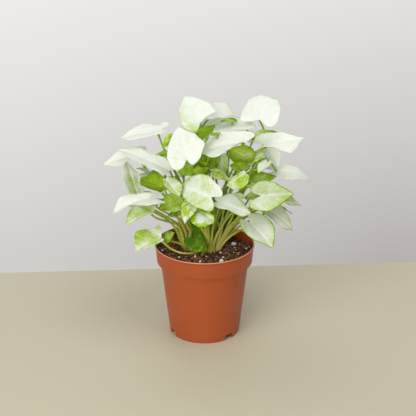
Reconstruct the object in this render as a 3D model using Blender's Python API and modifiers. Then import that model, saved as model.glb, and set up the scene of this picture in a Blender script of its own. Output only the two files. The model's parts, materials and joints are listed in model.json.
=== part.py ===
"""Potted syngonium: a nursery pot of potting soil with six young arrowhead plants growing in it.

Every plantlet is one short crown with its leaf stalks; every leaf blade is a piece of its own,
carried at the end of a stalk. Lengths in the tables are millimetres and angles are degrees,
measured from the centre of the pot's foot. +Z is up and the plant's best side faces -Y. The plant
leans to the back, so the finished part is placed with its origin under the middle of the whole plant.
"""
import math

import bmesh
import bpy
from mathutils import Matrix, Vector
from mathutils.bvhtree import BVHTree

MM = 0.001
FOOT_CENTRE = (-3.3, -30.8)

# Driving dimensions: a standard 12 cm grower pot
POT_DIAMETER = 120
POT_HEIGHT = 114
FOOT_RADIUS = 42.5
BODY_TOP_RADIUS = 53.2
COLLAR_HEIGHT = 22
COLLAR_FOOT_RADIUS = 57.5
WALL = 1.5
BEAD = 0.9
FLOOR_UNDERSIDE = 4.0
FOOT_LAND = 2.2
SLOT_WIDTH = 12
SLOT_HEIGHT = 7
SLOT_INNER_RADIUS = 33
SLOT_ANGLES = (-46, -153, 134, 27)
EDGE = 0.4
TURNING_STEPS = 56

# Soil
SEAT_GAP = 0.3
SIDE_GAP = 0.4
SOIL_BELOW_RIM = 3
SOIL_LEVEL = 108.5
SOIL_HOLLOW_DEPTH = 7
SOIL_HOLLOW_RADIUS = 20
SOIL_HOLLOW_CENTRE = (40, 34)
SOIL_WAVE = 0.8
SOIL_TURNING_STEPS = 32
PIT_TOP_Z = 120

# Plantlets: a crown is rooted in the soil and stands a little proud of it
CROWN_RADIUS = 4.2
CROWN_ROOT_Z = 97
CROWN_TOP_Z = 115
CROWN_HEART_Z = 124
CROWN_TAPER = 0.6
CROWN_SIDES = 10
STALK_BASE_RADIUS = 1.9
STALK_TIP_RADIUS = 1.1
STALK_RINGS = 8
STALK_ROOT_DEPTH = 2
STALK_RING_SHARE = 0.55
STALK_NECK = 3
STALK_SPREAD = 0.35
STALK_LOWER_PULL = 0.42
STALK_UPPER_PULL = 0.25

# Leaf blades
BLADE_THICKNESS = 0.6
BLADE_FOLD = 12
BLADE_CURL = 0.10
INNER_RING = 0.55

# Air kept round a blade or stalk while it is placed
CLEARANCE = 2.4
BLADE_STEPS_OFF = 6
BLADE_STEPS_ALONG = 3
BEND_SIZES = (5, 10, 15, 20, 26, 32, 40)
BEND_DIRECTIONS = 8
UPPER_BENDS = (0.7, 0, 1.5, -0.7)

# Half outline of an arrowhead leaf seen from its stalk: (degrees from the tip, share of the length).
# It runs from the drawn-out tip over the broad shoulders to the back lobe and the notch.
OUTLINE = (
    (0, 1.00), (14, 0.81), (34, 0.65), (62, 0.54), (90, 0.49),
    (118, 0.46), (140, 0.45), (158, 0.36), (180, 0.07),
)

# The leaves of each plantlet. Columns: where the stalk meets the blade (x, y, z), length to the tip,
# width factor, direction of the tip (0 is +X, 90 is +Y), its pitch upward, roll about the midrib,
# droop of the tip as a share of the length, and tint.
PLANTLETS = {
    "left": ((-15, 2), (
        (-46, -8, 212, 60, 0.85, 168, 24, -10, 0.10, "white"),
        (-66, -34, 185, 43, 0.95, 190, -9, -6, 0.18, "white"),
        (-62, -40, 170, 33, 0.95, 196, -16, -12, 0.20, "pale"),
        (-53, -26, 131, 33, 1.00, 190, -22, -42, 0.15, "green"),
        (-73, -12, 190, 40, 0.90, 138, 54, 0, 0.06, "pale"),
        (-77, 6, 182, 32, 0.90, 186, -12, -8, 0.12, "pale"),
        (-46, -14, 190, 30, 1.00, 205, 35, 45, 0.05, "green"),
    )),
    "front": ((8, -12), (
        (5, -58, 197, 46, 1.05, 138, 5, -52, 0.10, "pale"),
        (-17, -46, 184, 29, 1.00, -105, -26, 8, 0.12, "pale"),
        (-3, -57, 184, 28, 1.05, -92, -24, 0, 0.12, "green"),
        (17, -44, 181, 41, 0.95, -6, -8, 18, 0.18, "pale"),
        (-21, -35, 235, 48, 0.95, 104, 33, -12, 0.08, "white"),
        (-10, -24, 129, 22, 1.05, -80, -14, 14, 0.10, "green"),
        (-44, -34, 202, 28, 0.95, -30, -34, 16, 0.10, "pale"),
        (-28, -24, 176, 31, 0.95, 215, 0, -25, 0.12, "green"),
        (42, -26, 180, 24, 1.00, 180, 8, -42, 0.10, "pale"),
    )),
    "right": ((28, 4), (
        (68, -20, 183, 44, 1.05, 18, -2, 52, 0.10, "pale"),
        (56, -20, 146, 39, 1.12, -32, -36, 22, 0.10, "pale"),
        (74, 2, 153, 38, 0.95, -14, -30, 14, 0.14, "pale"),
        (83, 22, 161, 36, 0.90, -4, -6, 2, 0.16, "pale"),
        (86, 20, 199, 40, 0.95, -4, 4, 10, 0.34, "white"),
        (84, 0, 192, 30, 0.90, -8, -22, 4, 0.12, "pale"),
        (62, 2, 186, 38, 1.00, 118, 6, -20, 0.12, "green"),
        (74, 0, 211, 24, 0.95, 222, -30, -5, 0.10, "pale"),
    )),
    "centre": ((4, 12), (
        (43, -12, 246, 55, 0.95, 188, -12, -12, 0.14, "white"),
        (46, -6, 226, 30, 1.00, -92, 50, 0, 0.06, "green"),
        (41, -10, 212, 22, 1.00, -100, 45, 0, 0.06, "green"),
        (-4, -8, 206, 32, 0.95, 192, 8, -26, 0.10, "green"),
        (12, -24, 211, 25, 0.95, 4, -20, 16, 0.12, "pale"),
        (40, -32, 201, 28, 0.95, 186, -12, -20, 0.12, "pale"),
        (-6, 15, 264, 46, 1.00, 116, 26, -26, 0.08, "white"),
        (3, -4, 252, 24, 1.00, -60, 48, 0, 0.06, "green"),
        (50, 26, 252, 42, 0.95, 178, -4, -4, 0.12, "white"),
    )),
    "back_right": ((24, 34), (
        (65, 30, 258, 46, 1.10, 88, 30, 0, 0.08, "white"),
        (72, 6, 237, 46, 1.00, -26, 12, 26, 0.10, "white"),
        (77, 26, 221, 28, 0.95, -28, -30, 22, 0.10, "pale"),
        (66, 58, 190, 48, 0.95, 40, -8, 0, 0.18, "pale"),
        (46, 58, 226, 46, 0.95, 50, 4, 0, 0.14, "white"),
        (38, 82, 172, 46, 0.95, 68, -18, 0, 0.18, "pale"),
        (76, 42, 150, 42, 0.95, 25, -20, 0, 0.20, "pale"),
        (28, 48, 247, 44, 1.00, 72, 8, 0, 0.12, "white"),
        (2, 66, 228, 48, 0.95, 94, 8, 0, 0.14, "white"),
    )),
    "back_left": ((-12, 30), (
        (-55, 25, 247, 46, 0.92, 183, -5, -2, 0.10, "white"),
        (-75, 17, 221, 42, 0.92, 187, -8, -12, 0.14, "white"),
        (8, 46, 262, 38, 0.95, 22, -6, 22, 0.12, "white"),
        (-6, 46, 246, 44, 0.95, 104, 8, 0, 0.12, "white"),
        (-44, 58, 194, 48, 0.95, 128, -4, 0, 0.16, "pale"),
        (-68, 46, 182, 44, 0.95, 152, -8, 0, 0.18, "pale"),
        (-36, 84, 168, 46, 0.95, 114, -18, 0, 0.18, "pale"),
        (-60, 46, 146, 42, 0.95, 150, -22, 0, 0.20, "green"),
        (2, 92, 182, 50, 0.95, 92, -12, 0, 0.18, "pale"),
        (2, 86, 146, 42, 0.95, 86, -30, 0, 0.18, "green"),
    )),
}


def start_collections():
    """Empty the file, then make the part's collection and the hidden one for cutters."""
    for old in list(bpy.data.objects):
        bpy.data.objects.remove(old)
    made = []
    for name in ("Potted syngonium", "Cutters"):
        collection = bpy.data.collections.new(name)
        bpy.context.scene.collection.children.link(collection)
        made.append(collection)
    return made


part, cutters = start_collections()


def material(name, colour, roughness):
    """One Principled material, all of them dielectric."""
    made = bpy.data.materials.new(name)
    made.use_nodes = True
    shader = made.node_tree.nodes["Principled BSDF"]
    shader.inputs["Base Color"].default_value = (*colour, 1)
    shader.inputs["Roughness"].default_value = roughness
    shader.inputs["Metallic"].default_value = 0
    return made


POT_PLASTIC = material("terracotta_polypropylene", (0.48, 0.11, 0.045), 0.5)
SOIL_MIX = material("peat_and_perlite", (0.025, 0.014, 0.009), 0.95)
STALK_SKIN = material("stalk_skin", (0.42, 0.55, 0.12), 0.5)
LEAF_TINTS = {
    "white": material("leaf_white", (0.82, 0.90, 0.74), 0.45),
    "pale": material("leaf_pale_green", (0.56, 0.74, 0.36), 0.45),
    "green": material("leaf_green", (0.24, 0.46, 0.05), 0.45),
}


def add_object(name, mesh, collection, look=None):
    """Link a mesh as a named object, in the colour of its material."""
    item = bpy.data.objects.new(name, mesh)
    collection.objects.link(item)
    if look:
        mesh.materials.append(look)
    return item


def as_cutter(item):
    """Keep a Boolean operand out of the part."""
    item.hide_render = True
    item.display_type = "WIRE"
    return item


def boolean(target, operand, operation):
    """Cut a piece with another one, or weld another one to it."""
    modifier = target.modifiers.new(operand.name, "BOOLEAN")
    modifier.operation = operation
    modifier.solver = "EXACT"
    modifier.object = operand


def smooth(item, angle=40):
    """Shade a round piece smooth and keep its real edges."""
    item.data.shade_smooth()
    item.data.set_sharp_from_angle(angle=math.radians(angle))


def turned(name, profile, look, steps):
    """Turn a closed or axis-to-axis (radius, height) profile about Z."""
    mesh = bpy.data.meshes.new(name)
    shape = bmesh.new()
    ring = [shape.verts.new((radius * MM, 0, height * MM)) for radius, height in profile]
    for first, second in zip(ring, ring[1:]):
        shape.edges.new((first, second))
    shape.to_mesh(mesh)
    shape.free()
    item = add_object(name, mesh, part, look)
    screw = item.modifiers.new("turn", "SCREW")
    screw.axis = "Z"
    screw.steps = screw.render_steps = steps
    screw.use_merge_vertices = True
    screw.merge_threshold = 0.00001
    return item


# The pot's wall, worked out once for the pot and for the soil inside it

POT_RADIUS = POT_DIAMETER / 2
COLLAR_Z = POT_HEIGHT - COLLAR_HEIGHT
FLOOR_TOP = FLOOR_UNDERSIDE + WALL


def wall_radius(height):
    """Outer radius of the tapered body below the collar."""
    return FOOT_RADIUS + (BODY_TOP_RADIUS - FOOT_RADIUS) * height / COLLAR_Z


def collar_radius(height):
    """Outer radius of the tapered collar."""
    return COLLAR_FOOT_RADIUS + (POT_RADIUS - COLLAR_FOOT_RADIUS) * (height - COLLAR_Z) / COLLAR_HEIGHT


def inside_radius(height):
    """Inner radius of the pot, which widens at the step of the collar."""
    step_top = COLLAR_Z + WALL
    if height >= step_top:
        return collar_radius(height) - WALL
    return wall_radius(height) - WALL


def build_pot():
    """Moulded pot: tapered wall, stepped collar with a bead, raised floor and slotted foot ring."""
    step_top = COLLAR_Z + WALL
    land_inside = FOOT_RADIUS - FOOT_LAND
    profile = [
        (0, FLOOR_TOP),
        (inside_radius(FLOOR_TOP), FLOOR_TOP),
        (inside_radius(COLLAR_Z), COLLAR_Z - WALL),
        (inside_radius(step_top), step_top),
        (POT_RADIUS - WALL, POT_HEIGHT - EDGE),
        (POT_RADIUS - WALL / 2, POT_HEIGHT),
        (POT_RADIUS, POT_HEIGHT - EDGE),
        (POT_RADIUS, POT_HEIGHT - 2 * BEAD - EDGE),
        (POT_RADIUS - BEAD, POT_HEIGHT - 3 * BEAD),
        (COLLAR_FOOT_RADIUS, COLLAR_Z + EDGE),
        (COLLAR_FOOT_RADIUS - EDGE, COLLAR_Z),
        (BODY_TOP_RADIUS, COLLAR_Z - EDGE),
        (wall_radius(3 * EDGE), 3 * EDGE),
        (FOOT_RADIUS - EDGE, 0),
        (land_inside, 0),
        (land_inside - EDGE, FLOOR_UNDERSIDE),
        (0, FLOOR_UNDERSIDE),
    ]
    pot = turned("pot", profile, POT_PLASTIC, TURNING_STEPS)
    depth = BODY_TOP_RADIUS - SLOT_INNER_RADIUS
    middle = SLOT_INNER_RADIUS + depth / 2
    for number, angle in enumerate(SLOT_ANGLES, start=1):
        turn = Matrix.Rotation(math.radians(angle), 4, "Z")
        size = Matrix.Diagonal((depth * MM, SLOT_WIDTH * MM, 2 * SLOT_HEIGHT * MM, 1))
        box = bmesh.new()
        bmesh.ops.create_cube(box, size=1, matrix=turn @ Matrix.Translation((middle * MM, 0, 0)) @ size)
        mesh = bpy.data.meshes.new(f"drain_slot_{number}")
        box.to_mesh(mesh)
        box.free()
        boolean(pot, as_cutter(add_object(mesh.name, mesh, cutters)), "DIFFERENCE")
    return pot


def soil_height(x, y):
    """Level of the soil: nearly flat, a little wavy, sunk at the back right."""
    wave = SOIL_WAVE * (math.sin(x / 9 + 1) + math.cos(y / 11) + math.sin((x + y) / 6))
    away = math.hypot(x - SOIL_HOLLOW_CENTRE[0], y - SOIL_HOLLOW_CENTRE[1])
    return SOIL_LEVEL + wave - SOIL_HOLLOW_DEPTH * math.exp(-(away / SOIL_HOLLOW_RADIUS) ** 2)


def build_soil():
    """Root ball and soil in one: it fills the pot, and each crown sits in a pit of its own."""
    step_top = COLLAR_Z + WALL
    bottom = FLOOR_TOP + SEAT_GAP
    profile = [(0, SOIL_LEVEL)]
    for share in (0.25, 0.5, 0.75, 1):
        profile.append((share * (inside_radius(SOIL_LEVEL) - SIDE_GAP), SOIL_LEVEL))
    profile += [
        (inside_radius(step_top) - SIDE_GAP, step_top + SIDE_GAP),
        (inside_radius(COLLAR_Z) - SIDE_GAP, COLLAR_Z - WALL + SIDE_GAP),
        (inside_radius(bottom) - SIDE_GAP, bottom),
        (0, bottom),
    ]
    soil = turned("potting_soil", profile, SOIL_MIX, SOIL_TURNING_STEPS)
    shaped = bpy.data.meshes.new_from_object(soil.evaluated_get(bpy.context.evaluated_depsgraph_get()))
    bpy.data.objects.remove(soil)
    soil = add_object("potting_soil", shaped, part)
    for vertex in shaped.vertices:
        x, y, z = vertex.co / MM
        if z > step_top + SIDE_GAP + EDGE:
            level = min(soil_height(x, y), POT_HEIGHT - SOIL_BELOW_RIM)
            reach = math.hypot(x, y)
            limit = inside_radius(level) - SIDE_GAP
            pull = min(1, limit / reach) if reach else 1
            vertex.co = Vector((x * pull, y * pull, level)) * MM
    for name, (crown, _) in PLANTLETS.items():
        pit = cone(name + "_pit", crown, CROWN_ROOT_Z - SEAT_GAP, PIT_TOP_Z,
                   CROWN_RADIUS * CROWN_TAPER + SEAT_GAP, CROWN_RADIUS + SEAT_GAP + SIDE_GAP)
        boolean(soil, as_cutter(add_object(pit.name, pit, cutters)), "DIFFERENCE")
    return soil


def cone(name, centre, bottom, top, low_radius, high_radius):
    """Mesh of a closed round stump standing at a place in plan."""
    shape = bmesh.new()
    height = (top - bottom) * MM
    place = Matrix.Translation((centre[0] * MM, centre[1] * MM, bottom * MM + height / 2))
    bmesh.ops.create_cone(shape, cap_ends=True, segments=CROWN_SIDES, radius1=low_radius * MM,
                          radius2=high_radius * MM, depth=height, matrix=place)
    mesh = bpy.data.meshes.new(name)
    shape.to_mesh(mesh)
    shape.free()
    return mesh


class Leaf:
    """One blade: its place, its turn and the surface that its table row describes."""

    def __init__(self, name, row):
        self.name = name
        x, y, z, self.length, self.width, azimuth, pitch, roll, self.droop, self.tint = row
        self.seat = Vector((x, y, z))
        self.turn = (Matrix.Rotation(math.radians(azimuth), 3, "Z")
                     @ Matrix.Rotation(math.radians(-pitch), 3, "Y")
                     @ Matrix.Rotation(math.radians(roll), 3, "X"))

    @property
    def normal(self):
        return self.turn @ Vector((0, 0, 1))

    def surface_point(self, spoke, spokes, ring):
        """A point of the blade: spokes go round from the tip, rings go out from the stalk."""
        half = spokes // 2
        side = 1 if spoke <= half else -1
        angle, reach = OUTLINE[spoke if spoke <= half else spokes - spoke]
        along = self.length * reach * ring * math.cos(math.radians(angle))
        across = side * self.length * self.width * reach * ring * math.sin(math.radians(angle))
        lift = (abs(across) * math.tan(math.radians(BLADE_FOLD))
                - self.droop * along * along / self.length
                - BLADE_CURL * across * across / self.length)
        return self.seat + self.turn @ Vector((along, across, lift))

    def surface(self):
        """Open mesh of the blade: a disc of spokes and two rings laid onto the leaf's outline."""
        spokes = 2 * (len(OUTLINE) - 1)
        disc = bmesh.new()
        bmesh.ops.create_circle(disc, cap_ends=True, cap_tris=True, segments=spokes, radius=INNER_RING)
        rim = [edge for edge in disc.edges if edge.is_boundary]
        outer = bmesh.ops.extrude_edge_only(disc, edges=rim)["geom"]
        for corner in outer:
            if isinstance(corner, bmesh.types.BMVert):
                corner.co /= INNER_RING
        for corner in disc.verts:
            ring = corner.co.length
            spoke = round(math.atan2(corner.co.y, corner.co.x) / math.tau * spokes) % spokes
            corner.co = self.surface_point(spoke, spokes, ring) * MM
        mesh = bpy.data.meshes.new(self.name)
        disc.to_mesh(mesh)
        disc.free()
        return mesh

    def tree(self, thickness):
        """Search tree of the blade with some air round it, in millimetres."""
        mesh = self.surface()
        half = self.normal * thickness / 2
        points = []
        faces = []
        for sign in (-1, 1):
            start = len(points)
            points += [vertex.co / MM + half * sign for vertex in mesh.vertices]
            faces += [[start + corner for corner in face.vertices] for face in mesh.polygons]
        bpy.data.meshes.remove(mesh)
        return points, faces


def settle_blades(leaves, fixed):
    """Move a blade off its normal or along its midrib, in small steps, until it is clear."""
    placed = [fixed]
    shifts = [(lift, slide) for lift in range(-BLADE_STEPS_OFF, BLADE_STEPS_OFF + 1)
              for slide in range(-BLADE_STEPS_ALONG, BLADE_STEPS_ALONG + 1)]
    shifts.sort(key=lambda shift: (abs(shift[0]) + abs(shift[1]), shift))
    for leaf in leaves:
        first_seat = leaf.seat.copy()
        midrib = leaf.turn @ Vector((1, 0, 0))
        best = None
        for lift, slide in shifts:
            leaf.seat = first_seat + (leaf.normal * lift + midrib * slide) * CLEARANCE
            points, faces = leaf.tree(CLEARANCE)
            tree = BVHTree.FromPolygons(points, faces)
            hits = sum(len(tree.overlap(other)) for other in placed)
            if best is None or hits < best[0]:
                best = (hits, leaf.seat.copy(), tree)
            if not hits:
                break
        leaf.seat = best[1]
        placed.append(best[2])


def stalk_line(crown, number, count, leaf, low_bend, high_bend):
    """Points of a stalk: up and out of the crown, then in under the blade's seat."""
    spin = math.tau * number / count
    root = Vector((crown[0], crown[1], CROWN_TOP_Z - STALK_ROOT_DEPTH))
    root += Vector((math.cos(spin), math.sin(spin), 0)) * CROWN_RADIUS * STALK_RING_SHARE
    gap = BLADE_THICKNESS / 2 + SEAT_GAP
    end = leaf.seat - leaf.normal * gap
    neck = end - leaf.normal * STALK_NECK
    reach = (neck - root).length
    away = Vector((neck.x - root.x, neck.y - root.y, 0))
    rise = Vector((0, 0, 1)) + away * (STALK_SPREAD / reach)
    first = root + rise.normalized() * reach * STALK_LOWER_PULL + low_bend
    arrival = (leaf.normal / 2 + (neck - root).normalized()).normalized()
    second = neck - arrival * reach * STALK_UPPER_PULL + high_bend
    points = []
    for ring in range(STALK_RINGS):
        t = ring / (STALK_RINGS - 1)
        s = 1 - t
        points.append(root * s ** 3 + first * (3 * s * s * t) + second * (3 * s * t * t) + neck * t ** 3)
    return points + [end]


def tube_mesh(name, line):
    """Mesh of a tapered stalk, made from a curve with a round section."""
    curve = bpy.data.curves.new(name, "CURVE")
    curve.dimensions = "3D"
    curve.bevel_depth = MM
    curve.bevel_resolution = 1
    curve.use_fill_caps = True
    spline = curve.splines.new("POLY")
    spline.points.add(len(line) - 1)
    last = len(line) - 1
    for number, (point, place) in enumerate(zip(spline.points, line)):
        point.co = (*(place * MM), 1)
        point.radius = STALK_BASE_RADIUS + (STALK_TIP_RADIUS - STALK_BASE_RADIUS) * number / last
    item = bpy.data.objects.new(name, curve)
    cutters.objects.link(item)
    bpy.context.view_layer.update()
    mesh = bpy.data.meshes.new_from_object(item.evaluated_get(bpy.context.evaluated_depsgraph_get()))
    mesh.name = name
    bpy.data.objects.remove(item)
    welded = bmesh.new()
    welded.from_mesh(mesh)
    bmesh.ops.remove_doubles(welded, verts=welded.verts, dist=0.00001)
    bmesh.ops.recalc_face_normals(welded, faces=welded.faces)
    welded.to_mesh(mesh)
    welded.free()
    return mesh


def tube_tree(line, first, last):
    """Search tree of part of a stalk with some air round it, in millimetres."""
    points = []
    faces = []
    sides = 6
    for here, there in zip(line[first:last], line[first + 1:last + 1]):
        axis = (there - here).normalized()
        across = axis.orthogonal().normalized()
        start = len(points)
        for centre in (here, there):
            for side in range(sides):
                turn = Matrix.Rotation(math.tau * side / sides, 3, axis)
                points.append(centre + turn @ across * (STALK_BASE_RADIUS + CLEARANCE / 4))
        for side in range(sides):
            after = (side + 1) % sides
            faces.append([start + side, start + after, start + sides + after, start + sides + side])
    return BVHTree.FromPolygons(points, faces)


def bends():
    """Ways round an obstacle, the straightest first: a shift of the lower and of the upper half."""
    yield Vector(), Vector()
    for size in BEND_SIZES:
        for turn in range(BEND_DIRECTIONS):
            angle = math.tau * turn / BEND_DIRECTIONS
            shift = Vector((math.cos(angle), math.sin(angle), 0)) * size
            for upper in UPPER_BENDS:
                yield shift, shift * upper
            yield Vector(), shift


def route_stalks(plantlets, fixed):
    """Choose for every stalk the first bend that clears the blades and the other plantlets."""
    blades = []
    for _, leaves in plantlets.values():
        for leaf in leaves:
            blades.append((leaf, BVHTree.FromPolygons(*leaf.tree(CLEARANCE / 2))))
    routed = {}
    for name, (crown, leaves) in plantlets.items():
        others = [tree for found in routed.values() for tree in found["trees"]]
        routed[name] = {"lines": [], "trees": []}
        for number, leaf in enumerate(leaves):
            best = None
            for low_bend, high_bend in bends():
                line = stalk_line(crown, number, len(leaves), leaf, low_bend, high_bend)
                tree = tube_tree(line, 0, len(line) - 1)
                clear_of_seat = tube_tree(line, 0, len(line) - 3)
                free = tube_tree(line, 2, len(line) - 1)
                hits = sum(len(tree.overlap(blade)) for owner, blade in blades if owner is not leaf)
                hits += sum(len(clear_of_seat.overlap(blade)) for owner, blade in blades if owner is leaf)
                hits += sum(len(tree.overlap(other)) for other in others)
                hits += len(free.overlap(fixed))
                if best is None or hits < best[0]:
                    best = (hits, line, tree)
                if not hits:
                    break
            routed[name]["lines"].append(best[1])
            routed[name]["trees"].append(best[2])
    return {name: found["lines"] for name, found in routed.items()}


def world_tree(items):
    """Search tree of finished objects, in millimetres."""
    points = []
    faces = []
    bpy.context.view_layer.update()
    graph = bpy.context.evaluated_depsgraph_get()
    for item in items:
        mesh = item.evaluated_get(graph).to_mesh()
        start = len(points)
        points += [vertex.co / MM for vertex in mesh.vertices]
        faces += [[start + corner for corner in face.vertices] for face in mesh.polygons]
    return BVHTree.FromPolygons(points, faces)


def fill_pockets(item):
    """Apply the unions and keep only the outer skin, so a pocket closed in by stalks is solid."""
    bpy.context.view_layer.update()
    mesh = bpy.data.meshes.new_from_object(item.evaluated_get(bpy.context.evaluated_depsgraph_get()))
    skin = bmesh.new()
    skin.from_mesh(mesh)
    islands = []
    waiting = set(skin.verts)
    while waiting:
        island = {waiting.pop()}
        edge_of_island = list(island)
        while edge_of_island:
            corner = edge_of_island.pop()
            for edge in corner.link_edges:
                other = edge.other_vert(corner)
                if other in waiting:
                    waiting.remove(other)
                    island.add(other)
                    edge_of_island.append(other)
        islands.append(island)
    islands.sort(key=len)
    for pocket in islands[:-1]:
        bmesh.ops.delete(skin, geom=list(pocket), context="VERTS")
    skin.to_mesh(mesh)
    skin.free()
    item.modifiers.clear()
    item.data = mesh


def build_stalks(name, crown, lines):
    """A plantlet's crown with all its stalks welded to it."""
    stump = cone(name, crown, CROWN_ROOT_Z, CROWN_TOP_Z, CROWN_RADIUS * CROWN_TAPER, CROWN_RADIUS)
    item = add_object(name, stump, part, STALK_SKIN)
    heart = cone(name + "_heart", crown, CROWN_TOP_Z - 2 * STALK_ROOT_DEPTH, CROWN_HEART_Z,
                 CROWN_RADIUS * 0.8, CROWN_RADIUS * 0.3)
    boolean(item, as_cutter(add_object(heart.name, heart, cutters)), "UNION")
    for number, line in enumerate(lines, start=1):
        mesh = tube_mesh(f"{name}_stalk_{number}", line)
        boolean(item, as_cutter(add_object(mesh.name, mesh, cutters)), "UNION")
    fill_pockets(item)
    smooth(item)
    return item


def build_blade(leaf):
    """A leaf blade as a thin closed sheet."""
    item = add_object(leaf.name, leaf.surface(), part, LEAF_TINTS[leaf.tint])
    sheet = item.modifiers.new("thickness", "SOLIDIFY")
    sheet.thickness = BLADE_THICKNESS * MM
    sheet.offset = 0
    smooth(item)
    return item


pot = build_pot()
soil = build_soil()
holder = world_tree([pot, soil])
plants = {}
for place, (crown, rows) in PLANTLETS.items():
    plants[place] = (crown, [Leaf(f"{place}_leaf_{number}", row) for number, row in enumerate(rows, start=1)])
settle_blades([leaf for _, leaves in plants.values() for leaf in leaves], holder)
stalk_lines = route_stalks(plants, holder)
for place, (crown, leaves) in plants.items():
    build_stalks(f"{place}_plantlet_stalks", crown, stalk_lines[place])
    for leaf in leaves:
        build_blade(leaf)

foot = bpy.data.objects.new("foot_centre", None)
part.objects.link(foot)
foot.location = (FOOT_CENTRE[0] * MM, FOOT_CENTRE[1] * MM, 0)
for item in (*part.objects, *cutters.objects):
    if item is not foot:
        item.parent = foot
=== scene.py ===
"""Potted syngonium: the finish of a young arrowhead plant in its nursery pot.

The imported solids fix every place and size. Each section below makes one kind of piece in turn, in the
order in which the pot is filled and planted: pot, soil, stalks, leaves, and then the table and light.
"""
import json
import math
import random

import bmesh
import bpy
import numpy as np
from mathutils import Matrix, Vector, noise
from mathutils.bvhtree import BVHTree

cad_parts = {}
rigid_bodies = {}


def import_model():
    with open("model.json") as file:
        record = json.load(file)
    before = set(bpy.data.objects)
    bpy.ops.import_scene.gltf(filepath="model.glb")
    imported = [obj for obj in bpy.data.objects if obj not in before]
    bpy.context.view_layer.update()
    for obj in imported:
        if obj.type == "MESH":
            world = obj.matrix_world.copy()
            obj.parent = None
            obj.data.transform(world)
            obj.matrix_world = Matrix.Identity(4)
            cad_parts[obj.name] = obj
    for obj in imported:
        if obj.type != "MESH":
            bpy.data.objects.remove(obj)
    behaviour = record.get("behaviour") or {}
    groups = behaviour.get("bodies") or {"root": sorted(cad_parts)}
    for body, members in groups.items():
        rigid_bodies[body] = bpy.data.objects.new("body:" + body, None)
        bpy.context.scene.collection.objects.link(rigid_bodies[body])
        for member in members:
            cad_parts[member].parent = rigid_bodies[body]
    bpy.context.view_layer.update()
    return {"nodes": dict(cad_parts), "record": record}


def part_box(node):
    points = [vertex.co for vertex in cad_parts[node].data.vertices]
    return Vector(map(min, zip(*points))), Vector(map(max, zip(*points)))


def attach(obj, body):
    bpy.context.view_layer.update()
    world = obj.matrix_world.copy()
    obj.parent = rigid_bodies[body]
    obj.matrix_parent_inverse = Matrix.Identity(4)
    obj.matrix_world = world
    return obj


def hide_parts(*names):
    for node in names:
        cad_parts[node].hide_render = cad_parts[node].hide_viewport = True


for leftover in list(bpy.data.objects):
    bpy.data.objects.remove(leftover)
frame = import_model()


# ---- Pot ----------------------------------------------------------------------------------------
# A thin nursery pot, injection moulded in terracotta-coloured polypropylene. The mould leaves a bead
# on the rim, a stepped collar, a raised floor and four drain slots cut through the foot.

# sizes are in millimetres unless a comment says otherwise; MM turns them into the scene's metres
MM = 0.001
pot_low, pot_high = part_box("pot")
POT_AXIS = Vector(((pot_low.x + pot_high.x) / 2, (pot_low.y + pot_high.y) / 2, 0))
POT_RADIUS = (pot_high.x - pot_low.x) / 2 / MM
POT_HEIGHT = pot_high.z / MM
COLLAR_DEPTH = 22
COLLAR_Z = POT_HEIGHT - COLLAR_DEPTH
FOOT_RADIUS = 42.5
BODY_TOP_RADIUS = 53.2
COLLAR_FOOT_RADIUS = 57.5
WALL = 1.5
BEAD = 0.9
# the painted highlight on the rim's bead is at full strength from this far below the top upwards
HIGHLIGHT_CREST = 0.2
FLOOR_UNDERSIDE = 4
FOOT_LAND = 2.2
# directions of the drain slots, in degrees from the right
SLOT_ANGLES = (-46, -153, 134, 27)
# the core of the mould that leaves a slot: its size, how far out its middle stands, and its corners
SLOT_SIZE = (20.2, 12, 14)
SLOT_REACH = 43.1
SLOT_CORNER = 1.2
SHARP_EDGE = math.radians(35)
TURNING_STEPS = 168


def linear(code):
    """Linear RGBA of an sRGB hex colour."""
    levels = [int(code[place:place + 2], 16) / 255 for place in (1, 3, 5)]
    return *(level / 12.92 if level <= 0.04045 else ((level + 0.055) / 1.055) ** 2.4 for level in levels), 1


def add_node(tree, kind, inputs=None, **settings):
    """Add a node. An input, by name or number, is a value, or the socket or node that feeds it."""
    node = tree.nodes.new("ShaderNode" + kind)
    for name, value in settings.items():
        setattr(node, name, value)
    for name, value in (inputs or {}).items():
        if isinstance(value, bpy.types.Node):
            value = next(socket for socket in value.outputs if socket.enabled)
        if isinstance(value, bpy.types.NodeSocket):
            tree.links.new(value, node.inputs[name])
        else:
            node.inputs[name].default_value = value
    return node


def start_material(name):
    """An empty material and its node tree."""
    made = bpy.data.materials.new(name)
    made.use_nodes = True
    made.node_tree.nodes.clear()
    return made, made.node_tree


def add_object(name, data):
    """A new object in the scene."""
    added = bpy.data.objects.new(name, data)
    bpy.context.scene.collection.objects.link(added)
    return added


def add_piece(name, mesh, slot, *finishes):
    """Add a mesh as a piece of the potted plant, with its finishes."""
    piece = add_object(name, mesh)
    for finish in finishes:
        mesh.materials.append(finish)
    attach(piece, "root")
    return piece


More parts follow.
